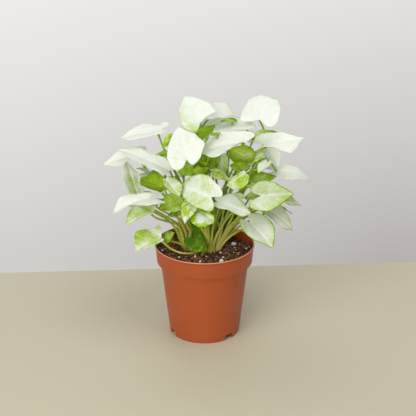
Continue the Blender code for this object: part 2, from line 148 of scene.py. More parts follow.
def moulded_polypropylene():
    """Satin polypropylene off a fine-grained mould: even terracotta, a little scuffed and dusty. Painted
    rim highlight.
    """
    made, tree = start_material("moulded_terracotta_polypropylene")
    place = add_node(tree, "TexCoord").outputs["Object"]
    # flow of the pigment in the melt, about 25 mm across
    flow = add_node(tree, "TexNoise", {"Vector": place, "Scale": 40.0, "Detail": 3.0})
    tint = add_node(tree, "Mix", {0: flow, 6: linear("#A1451A"), 7: linear("#AA4E20")}, data_type="RGBA")
    # scuffs and dried splashes, a few mm across
    scuffs = add_node(
        tree, "TexNoise", {"Vector": place, "Scale": 260.0, "Detail": 6.0, "Roughness": 0.7})
    dusty = add_node(
        tree, "MapRange", {"Value": scuffs, "From Min": 0.6, "From Max": 0.85, "To Max": 0.22})
    colour = add_node(tree, "Mix", {0: dusty, 6: tint, 7: linear("#AC6842")}, data_type="RGBA")
    # painted highlight: the top of the rim's bead is painted paler, where light would catch it
    level = add_node(tree, "SeparateXYZ", {0: place}).outputs["Z"]
    rim_highlight = add_node(
        tree, "MapRange", {"Value": level, "From Min": (POT_HEIGHT - BEAD) * MM,
            "From Max": (POT_HEIGHT - HIGHLIGHT_CREST) * MM, "To Max": 0.75})
    colour = add_node(tree, "Mix", {0: rim_highlight, 6: colour, 7: linear("#E8A888")}, data_type="RGBA")
    gloss = add_node(
        tree, "MapRange", {"Value": scuffs, "From Min": 0.3, "From Max": 0.8, "To Min": 0.38,
            "To Max": 0.55})
    # spark-eroded grain of the mould: 0.3 mm, drawn at 0.8 mm so that it shows
    grain = add_node(tree, "TexNoise", {"Vector": place, "Scale": 1250.0, "Detail": 1.0})
    bump = add_node(tree, "Bump", {"Height": grain, "Strength": 0.25, "Distance": 0.00008})
    shader = add_node(
        tree, "BsdfPrincipled", {"Base Color": colour, "IOR": 1.49, "Roughness": gloss, "Normal": bump})
    add_node(tree, "OutputMaterial", {"Surface": shader})
    return made


def eased(corners, steps=4):
    """A profile through corners (radius, height, easing), each bent round over its easing."""
    line = []
    for number, (radius, height, easing) in enumerate(corners):
        corner = Vector((radius, height))
        if not easing:
            line.append(corner)
            continue
        before = Vector(corners[number - 1][:2])
        after = Vector(corners[number + 1][:2])
        start = corner + (before - corner).normalized() * easing
        end = corner + (after - corner).normalized() * easing
        for step in range(steps + 1):
            share = step / steps
            line.append(start * (1 - share) ** 2 + corner * 2 * share * (1 - share) + end * share ** 2)
    return line


def mesh_from(name, shape):
    """Turn a bmesh into a mesh and let it go."""
    mesh = bpy.data.meshes.new(name)
    shape.to_mesh(mesh)
    shape.free()
    return mesh


def turned_mesh(name, line, steps):
    """Turn an axis-to-axis profile about Z into a closed mesh at the pot's axis."""
    shape = bmesh.new()
    ring = [shape.verts.new((point.x * MM, 0, point.y * MM)) for point in line]
    for first, second in zip(ring, ring[1:]):
        shape.edges.new((first, second))
    bmesh.ops.spin(
        shape, geom=shape.verts[:] + shape.edges[:], cent=(0, 0, 0), axis=(0, 0, 1), dvec=(0, 0, 0),
        angle=math.tau, steps=steps, use_merge=True)
    bmesh.ops.remove_doubles(shape, verts=shape.verts, dist=0.00001)
    bmesh.ops.recalc_face_normals(shape, faces=shape.faces)
    bmesh.ops.translate(shape, verts=shape.verts, vec=POT_AXIS)
    return mesh_from(name, shape)


def make_pot():
    """The moulded pot with its slots, in place of the plain solid."""
    inside = FOOT_RADIUS - WALL
    foot_inside = FOOT_RADIUS - FOOT_LAND
    profile = eased([
        (0, FLOOR_UNDERSIDE + WALL, 0),
        (inside, FLOOR_UNDERSIDE + WALL, 2),
        (BODY_TOP_RADIUS - WALL, COLLAR_Z - WALL, 1),
        (COLLAR_FOOT_RADIUS - WALL, COLLAR_Z + WALL, 1),
        (POT_RADIUS - WALL, POT_HEIGHT, 0.6),
        (POT_RADIUS, POT_HEIGHT, 0.6),
        (POT_RADIUS, POT_HEIGHT - 2.4 * BEAD, 0.7),
        (POT_RADIUS - BEAD, POT_HEIGHT - 3 * BEAD, 0.5),
        (COLLAR_FOOT_RADIUS, COLLAR_Z, 0.8),
        (BODY_TOP_RADIUS, COLLAR_Z, 0.6),
        (FOOT_RADIUS, 0, 0.7),
        (foot_inside, 0, 0.5),
        (foot_inside, FLOOR_UNDERSIDE, 0.8),
        (0, FLOOR_UNDERSIDE, 0),
    ])
    pot = add_piece(
        "nursery_pot", turned_mesh("nursery_pot", profile, TURNING_STEPS), "pot_plastic",
        moulded_polypropylene())
    cutters = []
    for angle in SLOT_ANGLES:
        turn = Matrix.Translation(POT_AXIS) @ Matrix.Rotation(math.radians(angle), 4, "Z")
        size = Matrix.Diagonal((*(side * MM for side in SLOT_SIZE), 1))
        slot = bmesh.new()
        place = turn @ Matrix.Translation((SLOT_REACH * MM, 0, 0))
        bmesh.ops.create_cube(slot, size=1, matrix=place @ size)
        bmesh.ops.bevel(
            slot, geom=slot.edges[:], offset=SLOT_CORNER * MM, segments=3, profile=0.5, affect="EDGES")
        cutter = add_object("drain_slot", mesh_from("drain_slot", slot))
        cutters.append(cutter)
        cut = pot.modifiers.new("drain_slot", "BOOLEAN")
        cut.operation = "DIFFERENCE"
        cut.object = cutter
    bpy.context.view_layer.update()
    pot.data = bpy.data.meshes.new_from_object(pot.evaluated_get(bpy.context.evaluated_depsgraph_get()))
    pot.modifiers.clear()
    for cutter in cutters:
        bpy.data.objects.remove(cutter)
    pot.data.shade_smooth()
    pot.data.set_sharp_from_angle(angle=SHARP_EDGE)
    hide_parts("pot")


make_pot()


# ---- Potting soil ---------------------------------------------------------------------------------
# Dark peat mix, pressed in by hand: a crumbly surface of peat, bark chips and coconut fibre, with
# white perlite grains. The roots hold it together, so it lifts out of the pot in one piece.

SOIL_SEED = 7
SOIL_CELLS = 116
SIDE_GAP = 0.4
# the soil sinks a little below its solid, and crumbs and clods rough up its surface
SETTLING = 0.6
CRUMB_HEIGHT = 0.75
CRUMBS_PER_METRE = 420
# how fast finer crumbs grow lower, how much finer each sort is, and how many sorts there are
CRUMB_FRACTAL = (0.7, 2.1, 4)
CLOD_HEIGHT = 0.9
CLODS_PER_METRE = 110
# it is smooth at the pot's wall and fully rough a twelfth of its radius further in
EDGE_FADE = 12
# ground that lies this much deeper than some ground within this reach is a crown's pit
PIT_DEPTH = 3
PIT_REACH = 6
# the two wings of a ridged tube: where they stand round it and how wide they are, in radians, and how
# far along it they reach, as a share of its length
WING_ANGLES = (0.9, 2.2)
WING_WIDTH = 0.3
WING_REACH = 0.55
# a strand turns by up to this angle in radians at each of its steps
FIBRES = 190
FIBRE_STEPS = 9
FIBRE_SIDES = 5
FIBRE_BEND = 0.25
FIBRE_LENGTHS = (4, 15)
FIBRE_ARCHES = (0.2, 1.6)
FIBRE_RADII = (0.14, 0.3)
FIBRE_SPREAD = 0.97
FIBRE_CLEARANCE = 2
# grains lie tilted by up to this angle in radians; their widths are shares of their lengths
GRAIN_TILT = 0.6
GRAIN_WIDTHS = (0.6, 0.9)
GRAIN_CLEARANCE = 2.5
# the larger perlite grains: how far out as a share of the radius, direction in degrees, and width
LARGE_GRAINS = (
    (0.64, 11, 6.5), (0.47, -44, 3.2), (0.65, -53, 3.0), (0.86, -66, 6.0), (0.54, -86, 2.4),
    (0.76, -97, 3.2), (0.53, -112, 3.4), (0.76, -135, 2.8), (0.93, -165, 3.0), (0.91, -9, 3.0),
    (0.80, -28, 2.6), (0.90, -45, 2.4), (0.88, -118, 2.4), (0.60, 150, 3.0), (0.80, 100, 3.4),
    (0.70, 60, 2.8),
)
# their three sizes and how far they stand out, in shares of the width
LARGE_GRAIN_SHAPE = (1, 0.75, 0.7)
LARGE_GRAIN_LIFT = 0.3
soil_low, soil_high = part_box("potting_soil")


def cad_tree(name):
    """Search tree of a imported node, in metres."""
    mesh = frame["nodes"][name].data
    points = [corner.co for corner in mesh.vertices]
    return BVHTree.FromPolygons(points, [list(face.vertices) for face in mesh.polygons])


soil_solid = cad_tree("potting_soil")


def soil_level(x, y):
    """Height of the packed soil at a place in metres. The pits of the crowns are bridged over."""
    heights = []
    reach = PIT_REACH * MM
    for shift_x, shift_y in ((0, 0), (reach, 0), (-reach, 0), (0, reach), (0, -reach)):
        above = Vector((x + shift_x, y + shift_y, POT_HEIGHT * 2 * MM))
        hit = soil_solid.ray_cast(above, Vector((0, 0, -1)))[0]
        if hit:
            heights.append(hit.z)
    if not heights:
        return soil_high.z - PIT_DEPTH * MM
    return heights[0] if heights[0] > max(heights) - PIT_DEPTH * MM else max(heights)


def loose_matter(name, tones, spread, noise_inputs, roughness, relief=None):
    """Dull finish of loose matter: two tones over a spread of noise, and a relief where it has one."""
    made, tree = start_material(name)
    place = add_node(tree, "TexCoord").outputs["Object"]
    patches = add_node(tree, "TexNoise", {"Vector": place, **noise_inputs})
    share = add_node(tree, "MapRange", {"Value": patches, "From Min": spread[0], "From Max": spread[1]})
    colour = add_node(tree, "Mix", {0: share, 6: linear(tones[0]), 7: linear(tones[1])}, data_type="RGBA")
    shader = add_node(tree, "BsdfPrincipled", {"Base Color": colour, "Roughness": roughness})
    if relief:
        strength, depth = relief
        bump = add_node(tree, "Bump", {"Height": patches, "Strength": strength, "Distance": depth * MM})
        tree.links.new(bump.outputs["Normal"], shader.inputs["Normal"])
    add_node(tree, "OutputMaterial", {"Surface": shader})
    return made


# Moist peat, milled: near black and a little damp, with brown crumbs about 2 mm across.
peat = loose_matter(
    "moist_peat", ("#21130C", "#925A40"), (0.46, 0.64),
    {"Scale": 500.0, "Detail": 5.0, "Roughness": 0.65}, 0.8, (0.7, 0.6))
# Composted bark, chipped: red-brown and matt. One shade reaches about 4 mm, so each chip has its own.
bark = loose_matter(
    "composted_bark", ("#4E2C1C", "#BC8262"), (0.35, 0.65), {"Scale": 260.0, "Detail": 2.0}, 0.85)
# Coconut fibre, combed out and dried: stiff strands between straw and rust, one shade to about 11 mm.
coir = loose_matter("coconut_fibre", ("#8A5236", "#D69C74"), (0.35, 0.65), {"Scale": 90.0}, 0.7)
# Perlite, volcanic glass expanded by heat: chalky off-white, with peat rubbed into pores 1 mm across.
perlite = loose_matter(
    "expanded_perlite", ("#F0EBE0", "#8C7B68"), (0.5, 0.75),
    {"Scale": 900.0, "Detail": 4.0}, 0.75, (0.6, 0.3))


def round_plan(across, along):
    """Map a square grid's place (-1 to 1 each way) onto the unit disc, with even cells."""
    if across == along == 0:
        return 0.0, 0.0
    if abs(across) > abs(along):
        angle = math.pi / 4 * along / across
        return across * math.cos(angle), across * math.sin(angle)
    angle = math.pi / 4 * across / along
    return along * math.sin(angle), along * math.cos(angle)


def make_soil():
    """One closed body of soil: a crumbly top, and sides that follow the pot."""
    top_radius = (soil_high.x - soil_low.x) / 2
    shape = bmesh.new()
    bmesh.ops.create_grid(shape, x_segments=SOIL_CELLS, y_segments=SOIL_CELLS, size=1)
    for corner in shape.verts:
        x, y = round_plan(corner.co.x, corner.co.y)
        x = POT_AXIS.x + x * top_radius
        y = POT_AXIS.y + y * top_radius
        edge = 1 - min(1, math.hypot(x - POT_AXIS.x, y - POT_AXIS.y) / top_radius)
        rough = min(1, edge * EDGE_FADE)
        crumb = noise.fractal(Vector((x, y, 0)) * CRUMBS_PER_METRE, *CRUMB_FRACTAL)
        clod = noise.noise(Vector((x, y, 0.3)) * CLODS_PER_METRE)
        rise = rough * (CRUMB_HEIGHT * crumb + CLOD_HEIGHT * clod)
        corner.co = (x, y, soil_level(x, y) - SETTLING * MM + rise * MM)
    rim = [edge for edge in shape.edges if edge.is_boundary]
    steps = [
        (COLLAR_FOOT_RADIUS - WALL - SIDE_GAP, COLLAR_Z + WALL + SIDE_GAP),
        (BODY_TOP_RADIUS - WALL - SIDE_GAP, COLLAR_Z - WALL + SIDE_GAP),
        (FOOT_RADIUS - WALL - SIDE_GAP, soil_low.z / MM),
    ]
    for radius, height in steps:
        grown = bmesh.ops.extrude_edge_only(shape, edges=rim)["geom"]
        for corner in grown:
            if isinstance(corner, bmesh.types.BMVert):
                out = (Vector((corner.co.x, corner.co.y, 0)) - POT_AXIS).normalized()
                corner.co = POT_AXIS + out * radius * MM + Vector((0, 0, height * MM))
        rim = [edge for edge in grown if isinstance(edge, bmesh.types.BMEdge) and edge.is_boundary]
    bmesh.ops.contextual_create(shape, geom=rim)
    bmesh.ops.recalc_face_normals(shape, faces=shape.faces)
    mesh = mesh_from("soil_mass", shape)
    mesh.shade_smooth()
    soil = add_piece("soil_mass", mesh, "soil", peat)
    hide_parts("potting_soil")


def lumps(name, finish, places, detail, jag):
    """Many irregular grains of the soil in one mesh. A place is (centre, three sizes), in metres."""
    parts = []
    ball = bmesh.new()
    bmesh.ops.create_icosphere(ball, subdivisions=detail, radius=0.5)
    ball.verts.ensure_lookup_table()
    corners = [corner.co.copy() for corner in ball.verts]
    sides = [[corner.index for corner in face.verts] for face in ball.faces]
    ball.free()
    for centre, size in places:
        turn = Matrix.Rotation(random.uniform(0, math.tau), 3, "Z")
        turn = turn @ Matrix.Rotation(random.uniform(-GRAIN_TILT, GRAIN_TILT), 3, "X")
        points = []
        for corner in corners:
            swell = 1 + random.uniform(-jag, jag)
            local = Vector((corner.x * size[0], corner.y * size[1], corner.z * size[2])) * swell
            points.append(centre + turn @ local)
        parts.append((points, sides))
    add_piece(name, mesh_of(name, parts), "soil", finish)


def tube(line, radii, sides, ridge=0):
    """Points and faces of a closed tube along a line, with flat ends. A ridge adds two low wings."""
    points = []
    faces = []
    across = None
    for number, (centre, radius) in enumerate(zip(line, radii)):
        ahead = line[min(number + 1, len(line) - 1)] - line[max(number - 1, 0)]
        ahead.normalize()
        across = ahead.orthogonal() if across is None else across - ahead * across.dot(ahead)
        across.normalize()
        other = ahead.cross(across)
        wing = ridge * max(0, 1 - number / (WING_REACH * len(line)))
        for side in range(sides):
            angle = math.tau * side / sides
            ridges = sum(math.exp(-((angle - at) / WING_WIDTH) ** 2) for at in WING_ANGLES)
            swell = 1 + wing * ridges
            points.append(centre + (across * math.cos(angle) + other * math.sin(angle)) * radius * swell)
    for ring in range(len(line) - 1):
        for side in range(sides):
            after = (side + 1) % sides
            here = ring * sides
            faces.append([here + side, here + after, here + sides + after, here + sides + side])
    faces.append(list(range(sides))[::-1])
    faces.append([(len(line) - 1) * sides + side for side in range(sides)])
    return points, faces


def mesh_of(name, parts):
    """One mesh of many (points, faces) parts."""
    points = []
    faces = []
    for part_points, part_faces in parts:
        start = len(points)
        points += part_points
        faces += [[start + corner for corner in face] for face in part_faces]
    mesh = bpy.data.meshes.new(name)
    mesh.from_pydata(points, [], faces)
    mesh.shade_smooth()
    return mesh


def place_on_soil(radius_share, angle):
    """A point of the soil's surface."""
    reach = (POT_RADIUS - WALL - GRAIN_CLEARANCE) * radius_share * MM
    x = POT_AXIS.x + reach * math.cos(angle)
    y = POT_AXIS.y + reach * math.sin(angle)
    return Vector((x, y, soil_level(x, y)))


def scatter(count, small, large, flat, lift):
    """Places of grains spread evenly over the soil, more small than large, in millimetres."""
    found = []
    for _ in range(count):
        spot = place_on_soil(math.sqrt(random.random()), random.uniform(0, math.tau))
        size = (small + (large - small) * random.random() ** 2) * MM
        spot.z += size * lift
        found.append((spot, (size, size * random.uniform(*GRAIN_WIDTHS), size * flat)))
    return found


def make_fibres():
    """Curved strands of coconut fibre that lie in the surface, each of its own length."""
    parts = []
    for _ in range(FIBRES):
        start = place_on_soil(math.sqrt(random.random()) * FIBRE_SPREAD, random.uniform(0, math.tau))
        heading = random.uniform(0, math.tau)
        turn = random.uniform(-FIBRE_BEND, FIBRE_BEND)
        length = random.uniform(*FIBRE_LENGTHS)
        arch = random.uniform(*FIBRE_ARCHES)
        line = []
        for step in range(FIBRE_STEPS):
            share = step / (FIBRE_STEPS - 1)
            heading += turn
            start = start + Vector((math.cos(heading), math.sin(heading), 0)) * length / FIBRE_STEPS * MM
            away = start - POT_AXIS
            away.z = 0
            if away.length > (POT_RADIUS - WALL - FIBRE_CLEARANCE) * MM:
                break
            level = soil_level(start.x, start.y)
            line.append(Vector((start.x, start.y, level + arch * math.sin(math.pi * share) * MM)))
        if len(line) > 3:
            width = random.uniform(*FIBRE_RADII) * MM
            parts.append(tube(line, [width] * len(line), FIBRE_SIDES))
    add_piece("coir_fibres", mesh_of("coir_fibres", parts), "soil", coir)


def dress_soil():
    """Crumbs, bark, fibre and perlite on the surface."""
    random.seed(SOIL_SEED)
    crumbs = scatter(1700, small=0.9, large=3.4, flat=0.7, lift=0.2)
    lumps("peat_crumbs", peat, crumbs, detail=1, jag=0.3)
    chips = scatter(900, small=1.0, large=3.8, flat=0.35, lift=0.3)
    lumps("bark_chips", bark, chips, detail=1, jag=0.28)
    make_fibres()
    grains = scatter(60, small=0.8, large=2.4, flat=0.75, lift=0.2)
    for share, angle, size in LARGE_GRAINS:
        spot = place_on_soil(share, math.radians(angle))
        spot.z += size * LARGE_GRAIN_LIFT * MM
        grains.append((spot, tuple(size * side * MM for side in LARGE_GRAIN_SHAPE)))
    lumps("perlite_grains", perlite, grains, detail=2, jag=0.16)


make_soil()
dress_soil()


# ---- Leaf stalks ----------------------------------------------------------------------------------
# Each plantlet is a short crown with a spray of round, fleshy leaf stalks, swept along smooth curves.
# A stalk is winged below, where it once clasped the next leaf, and green and thin at the top. The
# smallest young leaves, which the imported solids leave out, have stalks from the same crowns.

PLANTLETS = ("left", "front", "right", "centre", "back_right", "back_left")
# the rings of corners that a stalk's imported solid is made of: their reach and their corners
RING_REACH = 1.9
RING_CORNERS = 6
STALK_STEP = 2.5
STALK_SIDES = 14
STALK_FOOT_RADIUS = 1.35
STALK_TOP_RADIUS = 1.2
STALK_END_RADIUS = 0.9
STALK_TAPER = 0.8
STALK_SHADES = (-0.3, 0.25)
STALK_WINGS = 0.35
# a stalk ends just under the skin of its leaf
STALK_END = 0.2
# a stalk is wider where it sheathes the next one, and a little at its leaf
SHEATH_LENGTH = 26
SHEATH_SWELL = 0.9
JOINT_RINGS = 3
JOINT_SWELL = 0.3
YOUNG_SLIMNESS = 0.8
# how far a stalk bows up on its way, as a share of its rise
STALK_BOW = 0.16
YOUNG_STALK_BOW = 0.12
# heights and radii of a crown, from its buried foot to its top
CROWN_PROFILE = ((97, 1.6), (99, 3.4), (102, 5.0), (105, 5.6), (107.5, 5.0), (109, 3.4), (110, 1.0))
CROWN_LEVEL = 106
# stalks turn from straw to green from this height, over this rise
GREENING_FROM = 110
GREENING_RISE = 110
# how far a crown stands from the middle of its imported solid, in plan, and the spread of its stalks
CROWNS = {"right": (-18, -15, 3.5), "front": (-2, 0, 3.2), "left": (-2, -4, 6.5)}
USUAL_CROWN = (0, 0, 6.5)
# an edge of a packed blade's rim stands upright if its share along the normal is above this
UPRIGHT = 0.7
# a blade's usual fold, droop, curl and twist
USUAL_BEND = (0.10, -0.12, -0.10, 0.0)
# young leaves, too small for solids of their own: seat and tip
YOUNG_LEAVES = {
    "left_young_leaf_1": ((-50, -46, 125), (-37, -44, 137)),
    "left_young_leaf_2": ((-71, -20, 202), (-84, -22, 208)),
    "left_young_leaf_3": ((-37, -42, 156), (-48, -43, 155)),
    "back_left_young_leaf_1": ((-43, -30, 246), (-53, -31, 236)),
    "back_left_young_leaf_2": ((-48, -18, 223), (-61, -20, 224)),
    "back_right_young_leaf_1": ((30, 8, 256), (15, 6, 257)),
    "back_right_young_leaf_2": ((15, 2, 152), (9, -6, 126)),
    "back_right_young_leaf_3": ((30, -13, 156), (26, -21, 130)),
    "front_young_leaf_1": ((-5, -55, 115), (2, -57, 125)),
    "front_young_leaf_2": ((-5, -49, 217), (-21, -51, 212)),
    "front_young_leaf_3": ((-11, -30, 140), (-18, -37, 112)),
    "centre_young_leaf_1": ((12, -28, 251), (2, -29, 250)),
    "centre_young_leaf_2": ((17, -15, 220), (17, -25, 199)),
    "centre_young_leaf_3": ((-4, -37, 225), (-18, -38, 212)),
    "centre_young_leaf_4": ((3, -19, 218), (-4, -21, 195)),
    "right_young_leaf_1": ((56, -32, 252), (77, -32, 255)),
    "right_young_leaf_2": ((64, -29, 226), (47, -31, 218)),
    "right_young_leaf_3": ((38, -24, 174), (50, -26, 168)),
    "right_young_leaf_4": ((64, -44, 180), (44, -46, 181)),
}
# stalks that take a way of their own: one lies along the soil, one arches over
STALK_ROUTES = {
    "left_leaf_4": [(-12, -44, 109), (-18, -54, 111), (-28, -58, 112.5), (-39, -56, 115), (-48, -57, 122)],
    "right_leaf_5": [(44, -27, 180), (57, -25, 209), (66, -24, 219), (75, -22, 212), (80, -16, 203)],
}


def stalk_skin():
    """Fleshy stalk: straw-yellow at the foot, leaf green at the top, with fine ribs along it."""
    made, tree = start_material("fleshy_leaf_stalk")
    place = add_node(tree, "TexCoord").outputs["Object"]
    share = add_node(tree, "Attribute", attribute_name="height_share").outputs["Fac"]
    # fibres of the stalk, 0.7 mm apart and drawn out along it
    long = add_node(tree, "Mapping", {"Vector": place, "Scale": (1400.0, 1400.0, 120.0)})
    ribs = add_node(tree, "TexNoise", {"Vector": long, "Scale": 1.0, "Detail": 2.0})
    blotch = add_node(tree, "TexNoise", {"Vector": place, "Scale": 55.0})
    mixed = add_node(tree, "Math", {0: blotch, 1: 0.5, 2: share}, operation="MULTIPLY_ADD")
    base = add_node(tree, "ValToRGB", {"Fac": mixed})
    stops = base.color_ramp.elements
    stops.new(0.3)
    for stop, (position, tone) in zip(stops, ((0.0, "#6E6620"), (0.3, "#B4A84C"), (0.85, "#7EA810"))):
        stop.position = position
        stop.color = linear(tone)
    streak = add_node(
        tree, "MapRange", {"Value": ribs, "From Min": 0.35, "From Max": 0.7, "To Max": 0.45})
    colour = add_node(tree, "Mix", {0: streak, 6: base, 7: linear("#BEC05C")}, data_type="RGBA")
    bump = add_node(tree, "Bump", {"Height": ribs, "Strength": 0.4, "Distance": 0.0002})
    shader = add_node(
        tree, "BsdfPrincipled", {"Base Color": colour, "Roughness": 0.42, "Subsurface Weight": 0.15,
            "Subsurface Scale": 0.002, "Subsurface Radius": (0.5, 1.0, 0.2), "Normal": bump})
    add_node(tree, "OutputMaterial", {"Surface": shader})
    return made


def weld(mesh):
    """The mesh as a bmesh with its corners joined."""
    joined = bmesh.new()
    joined.from_mesh(mesh)
    bmesh.ops.remove_doubles(joined, verts=joined.verts, dist=0.000002)
    joined.verts.index_update()
    return joined


def bend_terms(along, across):
    """What a blade's fold, droop, curl and twist grow with."""
    return abs(across), along * along, across * across, along * across


class Blade:
    """One leaf: the seat on its stalk, its own axes, its length and how it bends away from its plane."""

    def __init__(self, name, seat, tip, normal):
        self.name = name
        self.seat = seat
        self.normal = normal
        self.ahead = (tip - seat) - normal * (tip - seat).dot(normal)
        self.length = self.ahead.length
        self.ahead = self.ahead.normalized()
        self.across = normal.cross(self.ahead)
        self.bend = USUAL_BEND

    def fit(self, outline):
        """Find how the blade folds, droops and curls above its seat from points of its rim."""
        away = [(point - self.seat) for point in outline]
        heights = [point.dot(self.normal) / self.length for point in away]
        terms = [bend_terms(point.dot(self.ahead) / self.length, point.dot(self.across) / self.length)
                 for point in away]
        self.bend = np.linalg.lstsq(np.array(terms), np.array(heights), rcond=None)[0]

    def lean(self, turn, pitch, roll):
        """Turn the blade's own axes about its seat, in degrees: tip left, tip up and left edge up."""
        swing = Matrix.Rotation(math.radians(turn), 3, self.normal)
        swing = Matrix.Rotation(-math.radians(pitch), 3, self.across) @ swing
        swing = swing @ Matrix.Rotation(math.radians(roll), 3, self.ahead)
        self.normal = swing @ self.normal
        self.ahead = swing @ self.ahead
        self.across = swing @ self.across

    def height(self, along, across):
        """Height of the blade over its seat's plane, in shares of its length like the place itself."""
        return float(np.dot(self.bend, bend_terms(along, across)))

    def place(self, along, across, height):
        """A place in the blade's own plan and height, in the frame."""
        return self.seat + self.ahead * along + self.across * across + self.normal * height


def packed_blade(name, stalks):
    """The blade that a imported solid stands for. Its seat is the hub of the solid's fan of faces."""
    solid = weld(frame["nodes"][name].data)
    hubs = sorted(solid.verts, key=lambda corner: len(corner.link_edges))[-2:]
    hubs.sort(key=lambda corner: stalks.find_nearest(corner.co)[3])
    under, over = (hub.co.copy() for hub in hubs)
    normal = (over - under).normalized()
    thickness = (over - under).length
    outline = []
    for edge in solid.edges:
        first, second = edge.verts
        if abs(edge.calc_length() - thickness) < thickness / 4 and len(edge.link_faces) == 2:
            if abs((first.co - second.co).normalized().dot(normal)) > UPRIGHT:
                outline.append((first.co + second.co) / 2)
    solid.free()
    seat = (under + over) / 2
    blade = Blade(name, seat, max(outline, key=lambda point: (point - seat).length), normal)
    blade.fit(outline)
    return blade


def young_blade(name, seat, tip):
    """A blade too small for a solid of its own, by the places of its seat and tip in millimetres."""
    seat = Vector(seat) * MM
    tip = Vector(tip) * MM
    across = Vector((0, 0, 1)).cross(tip - seat).normalized()
    return Blade(name, seat, tip, (tip - seat).normalized().cross(across))


def ring_centres(stalks, blade):
    """Centres of a stalk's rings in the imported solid, from the leaf down to where it joins the others."""
    ring = [corner for corner in stalks.verts if (corner.co - blade.seat).length < RING_REACH * MM]
    seen = set(ring)
    centres = []
    while len(ring) == RING_CORNERS:
        centres.append(sum((corner.co for corner in ring), Vector()) / len(ring))
        after = {edge.other_vert(corner) for corner in ring for edge in corner.link_edges} - seen
        ring = sorted(after, key=lambda corner: corner.index)
        seen.update(ring)
    return centres


def smooth_path(stops, spacing):
    """A smooth (Catmull-Rom) curve through the stops, as points about one spacing apart."""
    ends = [2 * stops[0] - stops[1], *stops, 2 * stops[-1] - stops[-2]]
    line = []
    for before, start, end, after in zip(ends, ends[1:], ends[2:], ends[3:]):
        steps = max(1, round((end - start).length / spacing))
        for step in range(steps):
            t = step / steps
            line.append(0.5 * (2 * start + (end - before) * t
                               + (2 * before - 5 * start + 4 * end - after) * t * t
                               + (3 * start - before - 3 * end + after) * t ** 3))
    line.append(stops[-1])
    return line


blades = {}
for place in PLANTLETS:
    stalks = cad_tree(f"{place}_plantlet_stalks")
    names = [name for name in frame["nodes"] if name.startswith(f"{place}_leaf_")]
    names.sort(key=lambda name: int(name.split("_")[-1]))
    blades[place] = [packed_blade(name, stalks) for name in names]
for name, (seat, tip) in YOUNG_LEAVES.items():
    blades[name.split("_young")[0]].append(young_blade(name, seat, tip))


def stalk_stops(blade, root, spread, solid):
    """Places that a stalk runs through, from the crown to its leaf."""
    if blade.name in STALK_ROUTES:
        route = [Vector(stop) * MM for stop in STALK_ROUTES[blade.name]]
    elif blade.name in YOUNG_LEAVES:
        route = [(root * 2 + blade.seat) / 3 + Vector((0, 0, YOUNG_STALK_BOW * (blade.seat.z - root.z)))]
    else:
        route = ring_centres(solid, blade)[::-1]
    away = route[-1] - root
    away.z = 0
    foot = root + away.normalized() * min(spread * MM, away.length)
    stops = [foot]
    if blade.name not in STALK_ROUTES and blade.name not in YOUNG_LEAVES:
        stops.append((foot + route[0]) / 2 + Vector((0, 0, STALK_BOW * (route[0].z - foot.z))))
    return [*stops, *route, blade.seat - blade.normal * STALK_END * MM]


def make_stalks(place, finish):
    """The crown of a plantlet and its stalks."""
    solid = weld(frame["nodes"][f"{place}_plantlet_stalks"].data)
    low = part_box(f"{place}_plantlet_stalks")[0]
    feet = [corner.co for corner in solid.verts if corner.co.z < low.z + MM]
    middle = sum(feet, Vector()) / len(feet)
    shift_x, shift_y, spread = CROWNS.get(place, USUAL_CROWN)
    root = Vector((middle.x + shift_x * MM, middle.y + shift_y * MM, CROWN_LEVEL * MM))
    parts = []
    shades = []
    random.seed(place)
    for blade in blades[place]:
        line = smooth_path(stalk_stops(blade, root, spread, solid), STALK_STEP * MM)
        shade = random.uniform(*STALK_SHADES)
        radii = []
        slim = YOUNG_SLIMNESS if blade.name in YOUNG_LEAVES else 1
        for ring in range(len(line)):
            share = ring / (len(line) - 1)
            joint = math.exp(-((1 - share) * len(line) / JOINT_RINGS) ** 2)
            sheath = math.exp(-(ring * STALK_STEP / SHEATH_LENGTH) ** 2)
            width = STALK_FOOT_RADIUS + (STALK_TOP_RADIUS - STALK_FOOT_RADIUS) * share ** STALK_TAPER
            width += JOINT_SWELL * joint + SHEATH_SWELL * sheath
            radii.append(width * slim * MM)
        radii[-1] = STALK_END_RADIUS * MM
        parts.append(tube(line, radii, STALK_SIDES, ridge=STALK_WINGS))
        shades += [shade] * len(parts[-1][0])
    solid.free()
    crown_line = [Vector((root.x, root.y, height * MM)) for height, _ in CROWN_PROFILE]
    parts.append(tube(crown_line, [radius * MM for _, radius in CROWN_PROFILE], STALK_SIDES))
    mesh = mesh_of(f"{place}_stalks", parts)
    shares = mesh.attributes.new("height_share", "FLOAT", "POINT")
    shades += [0] * (len(mesh.vertices) - len(shades))
    for corner, shade in zip(mesh.vertices, shades):
        shares.data[corner.index].value = (corner.co.z / MM - GREENING_FROM) / GREENING_RISE + shade
    piece = add_piece(f"{place}_stalks", mesh, "stalks", finish)
    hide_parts(f"{place}_plantlet_stalks")


stalk_finish = stalk_skin()
for place in PLANTLETS:
    make_stalks(place, stalk_finish)


# ---- Leaf blades ----------------------------------------------------------------------------------
# Arrowhead leaves, thin and soft, white and green in patches that follow the veins. The margin waves
# a little, the blade swells between its side veins, and a thicker rib runs from the stalk to the tip.

BLADE_THICKNESS = 0.4
# side veins leave the rib forwards, in shares of the leaf's length and of the way out
VEIN_SPACING = 0.14
VEIN_SLANT = 0.85


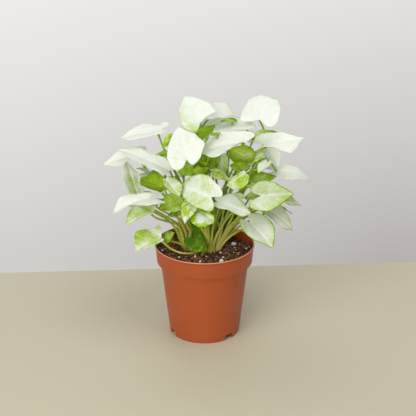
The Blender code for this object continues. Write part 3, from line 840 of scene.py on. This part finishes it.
def leaf_skin(name, tones, under):
    """Leaf skin: waxy above and matt below, thin enough to glow. Tones run from white to full green."""
    made, tree = start_material(name)
    place = add_node(tree, "TexCoord").outputs["Object"]
    pigment = add_node(tree, "Attribute", attribute_name="pigment").outputs["Fac"]
    plan = add_node(tree, "UVMap", uv_map="plan").outputs["UV"]
    # flecks of green cells, 1 to 2 mm across
    flecks = add_node(
        tree, "TexNoise", {"Vector": place, "Scale": 650.0, "Detail": 4.0, "Roughness": 0.6})
    patches = add_node(tree, "TexNoise", {"Vector": place, "Scale": 130.0, "Detail": 2.0})
    split = add_node(tree, "SeparateXYZ", {0: plan})
    width = add_node(tree, "Math", {0: split.outputs["Y"]}, operation="ABSOLUTE")
    # side veins, one every seventh of the leaf's length
    bend = add_node(
        tree, "Math", {0: width, 1: -VEIN_SLANT, 2: split.outputs["X"]}, operation="MULTIPLY_ADD")
    wave = add_node(tree, "Math", {0: bend, 1: VEIN_SPACING / 2}, operation="PINGPONG")
    side_vein = add_node(tree, "MapRange", {"Value": wave, "From Min": 0.012, "From Max": 0.0})
    rib = add_node(tree, "MapRange", {"Value": width, "From Min": 0.022, "From Max": 0.004})
    vein = add_node(tree, "Math", {0: side_vein, 1: rib}, operation="MAXIMUM")
    fleck_part = add_node(
        tree, "MapRange", {"Value": flecks, "From Min": 0.35, "From Max": 0.7, "To Min": -0.09,
            "To Max": 0.12})
    patch_part = add_node(
        tree, "MapRange", {"Value": patches, "From Min": 0.35, "From Max": 0.65, "To Min": -0.06,
            "To Max": 0.08})
    both = add_node(tree, "Math", {0: fleck_part, 1: patch_part}, operation="ADD")
    full = add_node(tree, "Math", {0: both, 1: pigment}, operation="ADD")
    vein_part = add_node(tree, "Math", {0: vein, 1: -0.14, 2: full}, operation="MULTIPLY_ADD")
    ramp = add_node(tree, "ValToRGB", {"Fac": vein_part})
    stops = ramp.color_ramp.elements
    while len(stops) < len(tones):
        stops.new(0.5)
    for number, (position, tone) in enumerate(tones):
        stops[number].position = position
        stops[number].color = linear(tone)
    bump = add_node(
        tree, "Bump", {"Height": vein, "Strength": 0.25, "Distance": 0.0004}, invert=not under)
    skin = add_node(
        tree, "BsdfPrincipled", {"Base Color": ramp, "Roughness": 0.6 if under else 0.45, "IOR": 1.4,
            "Specular IOR Level": 0.35, "Normal": bump})
    # light that comes through is yellower than light off the skin
    sap = add_node(
        tree, "Mix", {0: 1.0, 6: ramp, 7: linear("#FAFBF2")}, data_type="RGBA", blend_type="MULTIPLY")
    glow = add_node(tree, "BsdfTranslucent", {"Color": sap, "Normal": bump})
    mixed = add_node(tree, "MixShader", {0: 0.32, 1: skin, 2: glow})
    add_node(tree, "OutputMaterial", {"Surface": mixed})
    return made


UPPER_TONES = (
    (0.0, "#FBFCFA"), (0.2, "#F3F7F1"), (0.37, "#DDEAB4"), (0.6, "#BCD842"), (0.8, "#9CC01C"),
    (1.0, "#4C7C10"))
UNDER_TONES = (
    (0.0, "#F5F8F2"), (0.2, "#E8F0D0"), (0.45, "#C2DA48"), (0.7, "#A6C81C"), (1.0, "#7CA614"))
upper_skin = leaf_skin("variegated_leaf_upper_skin", UPPER_TONES, False)
under_skin = leaf_skin("variegated_leaf_under_skin", UNDER_TONES, True)
# how green the middle, the margin, its outermost line and the underside are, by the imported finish
TINTS = {
    "leaf_white": (0.03, 0.07, 0.24, 0.12),
    "leaf_pale_green": (0.34, 0.42, 0.90, 0.25),
    "leaf_green": (0.74, 0.76, 0.90, 0.05),
}
SLOTS = {row["node"]: row["material_slot"] for row in frame["record"]["subparts"]}
# the young leaves that are already pale; the others are green
YOUNG_PALE = ("centre_young_leaf_2", "right_young_leaf_2", "left_young_leaf_2")


# A half outline in shares of the length: the width at three quarters, at a half and at a quarter of the
# way to the tip and beside the seat, then how far back and how far out the lobe ends.
USUAL_HALF = (0.22, 0.385, 0.475, 0.49, 0.37, 0.24)
# the outer and the inner side of a lobe, as shares of how far back and how far out it reaches
LOBE_OUTER = (0.58, 0.55)
LOBE_INNER = (0.85, 0.5)
NOTCH = 0.07
OUTLINE_STEP = 0.02
HALF_POINTS = 48
RINGS = 14
RIM_CROWDING = 1.6
# how far the outline wanders, as a share of its width, and how often in a leaf's length
EDGE_WANDER = 0.08
EDGE_WANDERS = 4
WAVES = (3, 4, 5)
# heights are shares of the length; a slower wave, half as high, runs round the margin too
WAVE_HEIGHTS = (0.018, 0.035)
SLOW_WAVES = 2
SLOW_HEIGHT = 0.5
# how far the blade rises between its side veins, and how soon beside the rib
VEIN_SWELL = 0.004
VEIN_RISE = 6
# how far it buckles, and how often in its length
BUCKLE = 0.024
BUCKLES = 3.5
# the rib: its half width as a share of the length, how it thins towards the tip, how strong it starts
# and how fast it grows, then how far it stands in and out of the blade
RIB_WIDTH = 0.03
RIB_TAPER = 0.6
RIB_START = 0.3
RIB_RISE = 4
RIB_SUNK = 0.2
RIB_PROUD = 0.35
# how much thinner the margin is, where on the way out the line along it starts, and where in the
# leaf's length the tip starts to bend
EDGE_THINNING = 0.6
EDGE_LINE = 0.93
TIP_START = 0.55
# how fast a bent tip and a bent edge fall away
TIP_FALL = 5
EDGE_FALL = 3
# how far the green wanders in patches and in streaks between the side veins, on white leaves too
PATCHES = 2.6
PATCH_GREEN = 0.30
STREAKS = (9, 2)
STREAK_GREEN = 0.20
WHITE_MOTTLE = 0.25
# how fast added green grows towards the lobes and the sides, and how pale and wide a pale rib is
LOBE_GREENING = 2
SIDE_GREENING = 3
RIB_PALE = 0.20
RIB_PALE_WIDTH = 0.05
# What sets single leaves apart. "left" and "right" are half outlines; "size" scales the length; turn (to
# the left), pitch (tip up) and roll (left edge up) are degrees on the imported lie. The bends are shares of
# the length: arch (rib), tip, left_edge and right_edge, all downward, and wave (height of the margin).
# The rest is added green: green (all over), margin, line (along the margin), base (by the seat), back
# (on the lobes), left_green and right_green; mottle scales how patchy it is.
FORMS = {
    "back_left_leaf_1": {
        "left": (0.33, 0.42, 0.34, 0.24, 0.24, 0.10), "right": (0.26, 0.42, 0.46, 0.38, 0.30, 0.42),
        "left_edge": 0.12, "wave": 0.01},
    "back_left_leaf_2": {
        "left": (0.34, 0.42, 0.30, 0.24, 0.22, 0.12), "right": (0.19, 0.33, 0.36, 0.36, 0.30, 0.26),
        "wave": 0.01},
    "back_left_leaf_3": {
        "size": 0.9, "left": (0.50, 0.58, 0.56, 0.50, 0.40, 0.30),
        "right": (0.10, 0.18, 0.28, 0.36, 0.36, 0.24)},
    "left_leaf_1": {
        "left": (0.19, 0.29, 0.27, 0.26, 0.14, 0.24), "right": (0.21, 0.25, 0.25, 0.18, 0.16, 0.12),
        "wave": 0.012},
    "left_leaf_2": {
        "left": (0.17, 0.14, 0.34, 0.58, 0.40, 0.70), "right": (0.34, 0.41, 0.31, 0.23, 0.44, 0.16),
        "tip": 0.07, "wave": 0.02},
    "left_leaf_3": {
        "size": 0.95, "pitch": 8, "left": (0.10, 0.12, 0.14, 0.16, 0.15, 0.10),
        "right": (0.46, 0.58, 0.52, 0.38, 0.24, 0.22), "arch": 0.1, "green": -0.04, "line": -0.4,
        "base": 0.5},
    "left_leaf_4": {
        "left": (0.10, 0.14, 0.17, 0.16, 0.14, 0.10), "right": (0.54, 0.60, 0.50, 0.42, 0.20, 0.40),
        "wave": 0.03, "green": -0.40, "margin": -0.4, "line": -0.5, "right_green": 0.14, "mottle": 2.2},
    "left_leaf_5": {
        "turn": -10, "left": (0.20, 0.35, 0.42, 0.44, 0.12, 0.30),
        "right": (0.15, 0.27, 0.31, 0.26, 0.12, 0.14), "green": -0.12, "margin": -0.6, "line": -0.8,
        "base": 0.42, "mottle": 1.4},
    "left_leaf_7": {
        "size": 1.15, "turn": -6, "left": (0.42, 0.52, 0.42, 0.25, 0.12, 0.14),
        "right": (0.40, 0.50, 0.50, 0.36, 0.14, 0.16), "green": -0.14},
    "front_leaf_1": {
        "left": (0.25, 0.35, 0.38, 0.37, 0.33, 0.30), "right": (0.31, 0.42, 0.44, 0.38, 0.36, 0.18),
        "wave": 0.01, "green": -0.12, "margin": -0.2, "line": -0.4, "mottle": 2.2},
    "front_leaf_2": {
        "left": (0.22, 0.36, 0.44, 0.42, 0.34, 0.22), "right": (0.14, 0.24, 0.28, 0.26, 0.28, 0.12),
        "green": 0.2, "line": -0.2, "mottle": 2.2},
    "front_leaf_3": {
        "size": 0.84, "left": (0.52, 0.60, 0.60, 0.56, 0.34, 0.30),
        "right": (0.50, 0.58, 0.56, 0.50, 0.34, 0.26), "wave": 0.045, "green": -0.22, "margin": -0.05,
        "mottle": 3.0},
    "front_leaf_4": {
        "size": 0.95, "turn": -5, "left": (0.26, 0.36, 0.42, 0.30, 0.20, 0.16),
        "right": (0.26, 0.34, 0.26, 0.22, 0.18, 0.14), "green": -0.2, "margin": -0.1, "line": -0.4},
    "front_leaf_5": {
        "left": (0.19, 0.31, 0.40, 0.44, 0.34, 0.30), "right": (0.21, 0.40, 0.49, 0.39, 0.26, 0.14),
        "wave": 0.008, "green": 0.09},
    "front_leaf_6": {
        "left": (0.30, 0.42, 0.46, 0.40, 0.28, 0.20), "right": (0.36, 0.54, 0.66, 0.66, 0.34, 0.44),
        "green": 0.4, "margin": 0.1, "mottle": 0.2},
    "front_leaf_7": {
        "size": 0.9, "turn": -8, "left": (0.34, 0.42, 0.36, 0.26, 0.12, 0.12),
        "right": (0.20, 0.30, 0.36, 0.26, 0.12, 0.12), "green": 0.06, "margin": -0.1, "line": -0.4},
    "front_leaf_8": {
        "size": 0.95, "roll": -12, "left": (0.2, 0.34, 0.40, 0.36, 0.24, 0.16),
        "right": (0.26, 0.42, 0.46, 0.40, 0.24, 0.16), "green": -0.16},
    "front_leaf_9": {
        "size": 0.62, "left": (0.40, 0.52, 0.55, 0.50, 0.30, 0.30),
        "right": (0.40, 0.52, 0.55, 0.50, 0.30, 0.30), "green": 0.1},
    "centre_leaf_1": {
        "size": 0.92, "turn": -14, "left": (0.45, 0.50, 0.22, 0.06, 0.20, 0.10),
        "right": (0.52, 0.48, 0.42, 0.36, 0.30, 0.20), "wave": 0.02},
    "centre_leaf_2": {
        "size": 1.35, "left": (0.22, 0.30, 0.33, 0.30, 0.16, 0.20),
        "right": (0.34, 0.44, 0.44, 0.38, 0.16, 0.20), "green": -0.3},
    "centre_leaf_3": {"size": 1.1, "turn": 8, "green": -0.26},
    "centre_leaf_4": {
        "size": 0.9, "left": (0.12, 0.20, 0.22, 0.20, 0.20, 0.10),
        "right": (0.45, 0.50, 0.42, 0.16, 0.12, 0.12)},
    "centre_leaf_5": {"size": 0.8, "green": 0.24},
    "centre_leaf_6": {
        "size": 0.9, "pitch": -24, "roll": -25, "left": (0.40, 0.55, 0.60, 0.52, 0.20, 0.30),
        "right": (0.12, 0.16, 0.16, 0.14, 0.12, 0.10), "green": 0.16, "margin": -0.1, "line": -0.4},
    "centre_leaf_7": {
        "left": (0.22, 0.35, 0.42, 0.45, 0.32, 0.33), "right": (0.20, 0.34, 0.43, 0.46, 0.06, 0.45),
        "wave": 0.008, "green": 0.07, "back": 0.45, "left_green": 0.12},
    "centre_leaf_8": {
        "size": 1.07, "left": (0.12, 0.22, 0.26, 0.24, 0.16, 0.10),
        "right": (0.48, 0.62, 0.62, 0.58, 0.30, 0.40)},
    "centre_leaf_9": {
        "size": 0.92, "turn": -6, "left": (0.14, 0.22, 0.26, 0.26, 0.24, 0.16),
        "right": (0.56, 0.60, 0.57, 0.46, 0.24, 0.20)},
    "back_right_leaf_1": {
        "size": 0.88, "left": (0.30, 0.40, 0.48, 0.54, 0.20, 0.50),
        "right": (0.46, 0.56, 0.60, 0.55, 0.38, 0.38), "wave": 0.01},
    "back_right_leaf_2": {
        "turn": 12, "left": (0.12, 0.26, 0.38, 0.42, 0.40, 0.28),
        "right": (0.55, 0.44, 0.22, 0.12, 0.16, 0.08), "tip": -0.06, "wave": 0.01},
    "right_leaf_1": {
        "size": 0.93, "left": (0.15, 0.30, 0.41, 0.43, 0.36, 0.20),
        "right": (0.16, 0.31, 0.43, 0.50, 0.48, 0.32), "wave": 0.01, "mottle": 0.8},
    "right_leaf_2": {
        "size": 0.95, "left": (0.32, 0.52, 0.58, 0.52, 0.34, 0.18),
        "right": (0.17, 0.34, 0.44, 0.46, 0.38, 0.22), "wave": 0.008, "green": -0.16, "margin": -0.08},
    "right_leaf_3": {
        "left": (0.26, 0.39, 0.42, 0.38, 0.30, 0.20), "right": (0.34, 0.42, 0.42, 0.40, 0.30, 0.20),
        "tip": 0.05, "green": -0.24, "margin": -0.1, "line": -0.3},
    "right_leaf_4": {
        "pitch": -10, "right": (0.28, 0.45, 0.50, 0.45, 0.30, 0.20), "green": -0.2, "line": -0.3},
    "right_leaf_5": {
        "size": 0.99, "left": (0.25, 0.31, 0.36, 0.35, 0.30, 0.20),
        "right": (0.26, 0.46, 0.50, 0.34, 0.26, 0.18), "tip": 0.10, "right_edge": 0.08, "wave": 0.01},
    "right_leaf_7": {
        "size": 0.68, "turn": -112, "left": (0.30, 0.46, 0.56, 0.60, 0.62, 0.40),
        "right": (0.20, 0.30, 0.40, 0.45, 0.50, 0.30), "green": -0.06},
    "back_right_leaf_3": {"size": 0.8, "turn": -20, "green": -0.66, "margin": -0.5, "line": -0.6},
    "right_leaf_8": {
        "size": 0.7, "right": (0.22, 0.38, 0.46, 0.34, 0.26, 0.16), "green": -0.12, "margin": -0.1},
    "back_left_leaf_4": {"roll": -8},
    "back_left_leaf_6": {"size": 0.7},
    "back_right_leaf_8": {"turn": -8, "right": (0.22, 0.38, 0.46, 0.20, 0.15, 0.10)},
    "back_left_leaf_9": {"size": 0.97},
    "back_left_leaf_7": {"size": 0.6},
    "back_left_leaf_8": {"size": 0.6},
    "left_young_leaf_1": {
        "size": 0.78, "roll": 35, "left": (0.3, 0.42, 0.45, 0.4, 0.2, 0.2), "left_edge": -0.25},
    "left_young_leaf_3": {"roll": -20, "green": 0.24},
    "back_left_young_leaf_1": {"roll": -35},
    "back_left_young_leaf_2": {"roll": -15},
    "front_young_leaf_1": {"roll": 30, "green": 0.1},
    "front_young_leaf_3": {
        "left": (0.3, 0.42, 0.46, 0.40, 0.2, 0.2), "right": (0.3, 0.46, 0.50, 0.40, 0.2, 0.2),
        "green": 0.4, "margin": 0.2, "mottle": 0.3},
    "back_right_young_leaf_2": {"green": 0.4, "margin": 0.2},
    "back_right_young_leaf_3": {"green": 0.4, "margin": 0.2},
    "front_young_leaf_2": {"roll": -35, "green": 0.12},
    "centre_young_leaf_2": {
        "left": (0.3, 0.34, 0.34, 0.3, 0.1, 0.2), "right": (0.3, 0.34, 0.34, 0.3, 0.1, 0.2),
        "green": 0.06},
    "centre_young_leaf_3": {"roll": -40},
    "centre_young_leaf_4": {"roll": -60},
    "right_young_leaf_1": {"pitch": 36, "left": (0.12, 0.18, 0.20, 0.16, 0.1, 0.1), "arch": 0.75},
    "right_young_leaf_2": {"roll": -30, "left": (0.2, 0.3, 0.3, 0.26, 0.1, 0.1), "green": 0.12},
    "right_young_leaf_3": {"roll": -30},
    "right_young_leaf_4": {"roll": -30},
}


def half_outline(at_75, at_50, at_25, at_seat, back, out):
    """Evenly spaced points of a half outline, from the tip to the notch, in shares of the length."""
    outer = (-LOBE_OUTER[0] * back, LOBE_OUTER[1] * (at_seat + out))
    inner = (-LOBE_INNER[0] * back, LOBE_INNER[1] * out)
    stops = [(1, 0), (0.75, at_75), (0.5, at_50), (0.25, at_25), (0, at_seat), outer, (-back, out),
             inner, (-NOTCH, 0)]
    line = smooth_path([Vector((*stop, 0)) for stop in stops], OUTLINE_STEP)
    lengths = np.cumsum([0] + [(end - start).length for start, end in zip(line, line[1:])])
    even = np.linspace(0, lengths[-1], HALF_POINTS + 1)
    return [(float(np.interp(step, lengths, [point.x for point in line])),
             float(np.interp(step, lengths, [point.y for point in line]))) for step in even]


def make_blade(blade):
    """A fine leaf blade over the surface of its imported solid."""
    random.seed(blade.name)
    form = FORMS.get(blade.name, {})
    young = "leaf_pale_green" if blade.name in YOUNG_PALE else "leaf_green"
    slot = SLOTS.get(blade.name, young)
    middle, margin, line_green, underneath = TINTS[slot]
    middle += form.get("green", 0)
    margin += form.get("margin", 0)
    line_green += form.get("line", 0)
    left = half_outline(*form.get("left", USUAL_HALF))
    right = half_outline(*form.get("right", USUAL_HALF))
    outline = left + [(along, -across) for along, across in right[-2:0:-1]]
    size = blade.length * form.get("size", 1)
    blade.lean(form.get("turn", 0), form.get("pitch", 0), form.get("roll", 0))
    waves = random.choice(WAVES)
    wave_height = form.get("wave", random.uniform(*WAVE_HEIGHTS))
    phases = (random.uniform(0, math.tau), random.uniform(0, math.tau))
    offset = Vector((random.uniform(0, 50), random.uniform(0, 50), 0))
    # no margin runs quite true
    outline = [(along, across * (1 + EDGE_WANDER * noise.noise(
        offset + Vector((along, across, 2)) * EDGE_WANDERS))) for along, across in outline]
    count = len(outline)
    top = []
    bottom = []
    greens = []
    plans = []
    for ring in range(RINGS + 1):
        share = 1 - (1 - ring / RINGS) ** RIM_CROWDING
        for number, (edge_along, edge_across) in enumerate(outline if ring else [(0, 0)]):
            along = edge_along * share
            across = edge_across * share
            wide = abs(across)
            turn = math.tau * number / count
            lift = blade.height(along, across)
            lift -= form.get("arch", 0) * max(0, along) ** 2
            lift -= form.get("tip", 0) * max(0, along - TIP_START) ** 2 * TIP_FALL
            lift -= form.get("left_edge" if across > 0 else "right_edge", 0) * wide ** 2 * EDGE_FALL
            lift += wave_height * share ** 3 * math.sin(turn * waves + phases[0])
            lift += SLOW_HEIGHT * wave_height * share ** 2 * math.sin(turn * SLOW_WAVES + phases[1])
            # the blade swells between its side veins
            swell = math.cos(math.tau * (along - VEIN_SLANT * wide) / VEIN_SPACING)
            lift += VEIN_SWELL * swell * min(1, wide * VEIN_RISE) * share * (1 - share ** 6)
            lift += BUCKLE * noise.noise(offset + Vector((along, across, 0)) * BUCKLES) * share
            # the rib is sunk above and proud below
            rib = math.exp(-(wide / RIB_WIDTH) ** 2) * (1 - RIB_TAPER * max(0, along))
            rib *= min(1, share * RIB_RISE + RIB_START)
            thick = BLADE_THICKNESS / 2 * MM * (1 - EDGE_THINNING * share ** 8)
            over = lift * size + thick - RIB_SUNK * MM * rib
            under = lift * size - thick - RIB_PROUD * MM * rib
            top.append(blade.place(along * size, across * size, over))
            bottom.append(blade.place(along * size, across * size, under))
            patch = noise.noise(offset + Vector((along, across, 1)) * PATCHES)
            streak = Vector(((along - VEIN_SLANT * wide) * STREAKS[0], wide * STREAKS[1], across))
            between = noise.noise(offset + streak)
            mottle = (PATCH_GREEN * patch + STREAK_GREEN * between) * form.get("mottle", 1)
            green = middle + mottle * (WHITE_MOTTLE + middle)
            green += (margin - middle) * share ** 5
            green += form.get("base", 0) * (1 - share) ** 2
            green += form.get("back", 0) * max(0, -along) * LOBE_GREENING
            side = "left_green" if across > 0 else "right_green"
            green += form.get(side, 0) * min(1, wide * SIDE_GREENING)
            if slot == "leaf_pale_green":
                green -= RIB_PALE * math.exp(-(wide / RIB_PALE_WIDTH) ** 2) * (1 - share ** 4)
            # a thin greener line along the margin
            green += (line_green - margin) * max(0, share - EDGE_LINE) / (1 - EDGE_LINE)
            greens.append(max(0, min(1, green)))
            plans.append((along, across))
    mesh = bpy.data.meshes.new(blade.name)
    total = len(top)
    sheet = [[0, 1 + spoke, 1 + (spoke + 1) % count] for spoke in range(count)]
    for ring in range(RINGS - 1):
        inner = 1 + ring * count
        for spoke in range(count):
            after = (spoke + 1) % count
            sheet.append([inner + spoke, inner + count + spoke, inner + count + after, inner + after])
    back_sheet = [[total + corner for corner in reversed(face)] for face in sheet]
    rim = total - count
    edge = [[rim + (spoke + 1) % count, rim + spoke, total + rim + spoke, total + rim + (spoke + 1) % count]
            for spoke in range(count)]
    mesh.from_pydata(top + bottom, [], sheet + back_sheet + edge)
    mesh.polygons.foreach_set("material_index", [0] * len(sheet) + [1] * len(back_sheet) + [0] * len(edge))
    layer = mesh.attributes.new("pigment", "FLOAT", "POINT")
    layer.data.foreach_set("value", greens + [min(1, green + underneath) for green in greens])
    chart = mesh.uv_layers.new(name="plan")
    for loop in mesh.loops:
        chart.data[loop.index].uv = plans[loop.vertex_index % total]
    mesh.shade_smooth()
    piece = add_piece(blade.name.replace("leaf", "blade"), mesh, slot, upper_skin, under_skin)
    if blade.name in SLOTS:
        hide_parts(blade.name)


for place in PLANTLETS:
    for blade in blades[place]:
        make_blade(blade)


# ---- Table, backdrop, light and camera --------------------------------------------------------------
# A pale painted table whose far edge shows behind the pot, and a glowing wall with painted light and shade
# well behind it. A large soft key stands at the upper left, a wide fill in front and weak lights above and
# behind. The room itself is bright and even.

# lengths in this section are in metres; the far edge is given by two points from the pot's axis
TABLE_EDGE = ((-0.279, 0.1585), (0.295, 0.1947))
TABLE_DEPTH = 1.2
TABLE_REACH = 3.0
WALL_AWAY = 2.2
# corners of the wall, across and up
WALL_CORNERS = ((-4, -2.5), (4, -2.5), (4, 3), (-4, 3))
# a long lens, its focal length in millimetres, looks down on a point above the pot's foot
CAMERA_PITCH = math.radians(22.24)
CAMERA_AWAY = 1.4
AIM_HEIGHT = 0.15
FOCAL_LENGTH = 101.65
LENS_SHIFT = (0.0082, 0.0173)


def painted_table():
    """Table top in satin beige paint."""
    made, tree = start_material("satin_beige_paint")
    place = add_node(tree, "TexCoord").outputs["Object"]
    roller = add_node(tree, "TexNoise", {"Vector": place, "Scale": 300.0, "Detail": 2.0})
    bump = add_node(tree, "Bump", {"Height": roller, "Strength": 0.05, "Distance": 0.0002})
    shader = add_node(
        tree, "BsdfPrincipled", {"Base Color": linear("#BFB8A1"), "Roughness": 0.6, "Normal": bump})
    add_node(tree, "OutputMaterial", {"Surface": shader})
    return made


def wall_with_painted_light():
    """Glowing wall with painted light from the upper left: painted darker to the right and towards the
    table.
    """
    made, tree = start_material("matt_grey_wall")
    place = add_node(tree, "TexCoord").outputs["Object"]
    split = add_node(tree, "SeparateXYZ", {0: place})
    # painted light and shade: lighter to the left and at the top, darker to the right and lower down
    side = add_node(tree, "MapRange", {"Value": split.outputs["X"], "From Min": -0.6, "From Max": 0.6})
    depth = add_node(
        tree, "MapRange", {"Value": split.outputs["Z"], "From Min": -0.06, "From Max": -0.92})
    upper = add_node(tree, "Mix", {0: side, 6: linear("#EDECEA"), 7: linear("#E3E1DF")}, data_type="RGBA")
    lower = add_node(tree, "Mix", {0: side, 6: linear("#CFCECB"), 7: linear("#B6B1B0")}, data_type="RGBA")
    colour = add_node(tree, "Mix", {0: depth, 6: upper, 7: lower}, data_type="RGBA")
    glow = add_node(tree, "Emission", {"Color": colour, "Strength": 1.0})
    add_node(tree, "OutputMaterial", {"Surface": glow})
    return made


def add_stage(name, corners, finish):
    """A flat panel of the studio."""
    mesh = bpy.data.meshes.new(name)
    mesh.from_pydata(corners, [], [list(range(len(corners)))])
    mesh.materials.append(finish)
    panel = add_object(name, mesh)


def add_area_light(name, place, target, size, power, colour):
    """A soft box at a place, turned to a target."""
    lamp = bpy.data.lights.new(name, "AREA")
    lamp.shape = "DISK"
    lamp.size = size
    lamp.energy = power
    lamp.color = colour
    box = add_object(name, lamp)
    box.location = place
    box.rotation_euler = (Vector(target) - Vector(place)).to_track_quat("-Z", "Y").to_euler()


def set_table_and_wall():
    """The table runs towards the camera from its far edge; the wall stands beyond it."""
    (left_x, left_y), (right_x, right_y) = TABLE_EDGE
    slope = (right_y - left_y) / (right_x - left_x)
    left = Vector((POT_AXIS.x - TABLE_REACH, POT_AXIS.y + left_y - (TABLE_REACH + left_x) * slope, 0))
    right = Vector((POT_AXIS.x + TABLE_REACH, POT_AXIS.y + right_y + (TABLE_REACH - right_x) * slope, 0))
    back = Vector((0, -TABLE_DEPTH, 0))
    add_stage("table_top", [left, left + back, right + back, right], painted_table())
    add_stage("wall", [(across, WALL_AWAY, up) for across, up in WALL_CORNERS], wall_with_painted_light())


def light_studio():
    """Soft key at the upper left, a wide front fill, weak top and rear lights, and a bright room."""
    target = (POT_AXIS.x, POT_AXIS.y, AIM_HEIGHT)
    add_area_light("key", (-1.0, -1.5, 1.6), target, 1.3, 17, (1.0, 0.99, 0.98))
    add_area_light("front_fill", (-0.5, -2.2, 0.7), target, 1.4, 24.5, (1.0, 1.0, 0.985))
    add_area_light("top_light", (0.6, -0.6, 2.2), target, 1.6, 16, (1.0, 1.0, 0.985))
    add_area_light("rear_light", (-0.4, 1.3, 2.0), target, 1.4, 5, (1.0, 1.0, 1.0))
    # the room: even light, stronger from the ceiling
    world = bpy.data.worlds.new("studio")
    bpy.context.scene.world = world
    world.use_nodes = True
    tree = world.node_tree
    way = add_node(tree, "TexCoord").outputs["Generated"]
    split = add_node(tree, "SeparateXYZ", {0: way})
    level = add_node(tree, "MapRange", {"Value": split.outputs["Z"], "To Min": 0.36, "To Max": 0.38})
    air = tree.nodes["Background"]
    air.inputs["Color"].default_value = linear("#FCFCFA")
    tree.links.new(level.outputs["Result"], air.inputs["Strength"])
    bpy.context.scene.view_settings.view_transform = "Standard"


def set_camera():
    """The camera in front of the pot, aimed at its axis."""
    target = POT_AXIS + Vector((0, 0, AIM_HEIGHT))
    lens = bpy.data.cameras.new("camera")
    lens.lens = FOCAL_LENGTH
    lens.shift_x, lens.shift_y = LENS_SHIFT
    camera = add_object("camera", lens)
    camera.location = target + Vector((0, -math.cos(CAMERA_PITCH), math.sin(CAMERA_PITCH))) * CAMERA_AWAY
    camera.rotation_euler = (math.pi / 2 - CAMERA_PITCH, 0, 0)
    bpy.context.scene.camera = camera


set_table_and_wall()
light_studio()
set_camera()
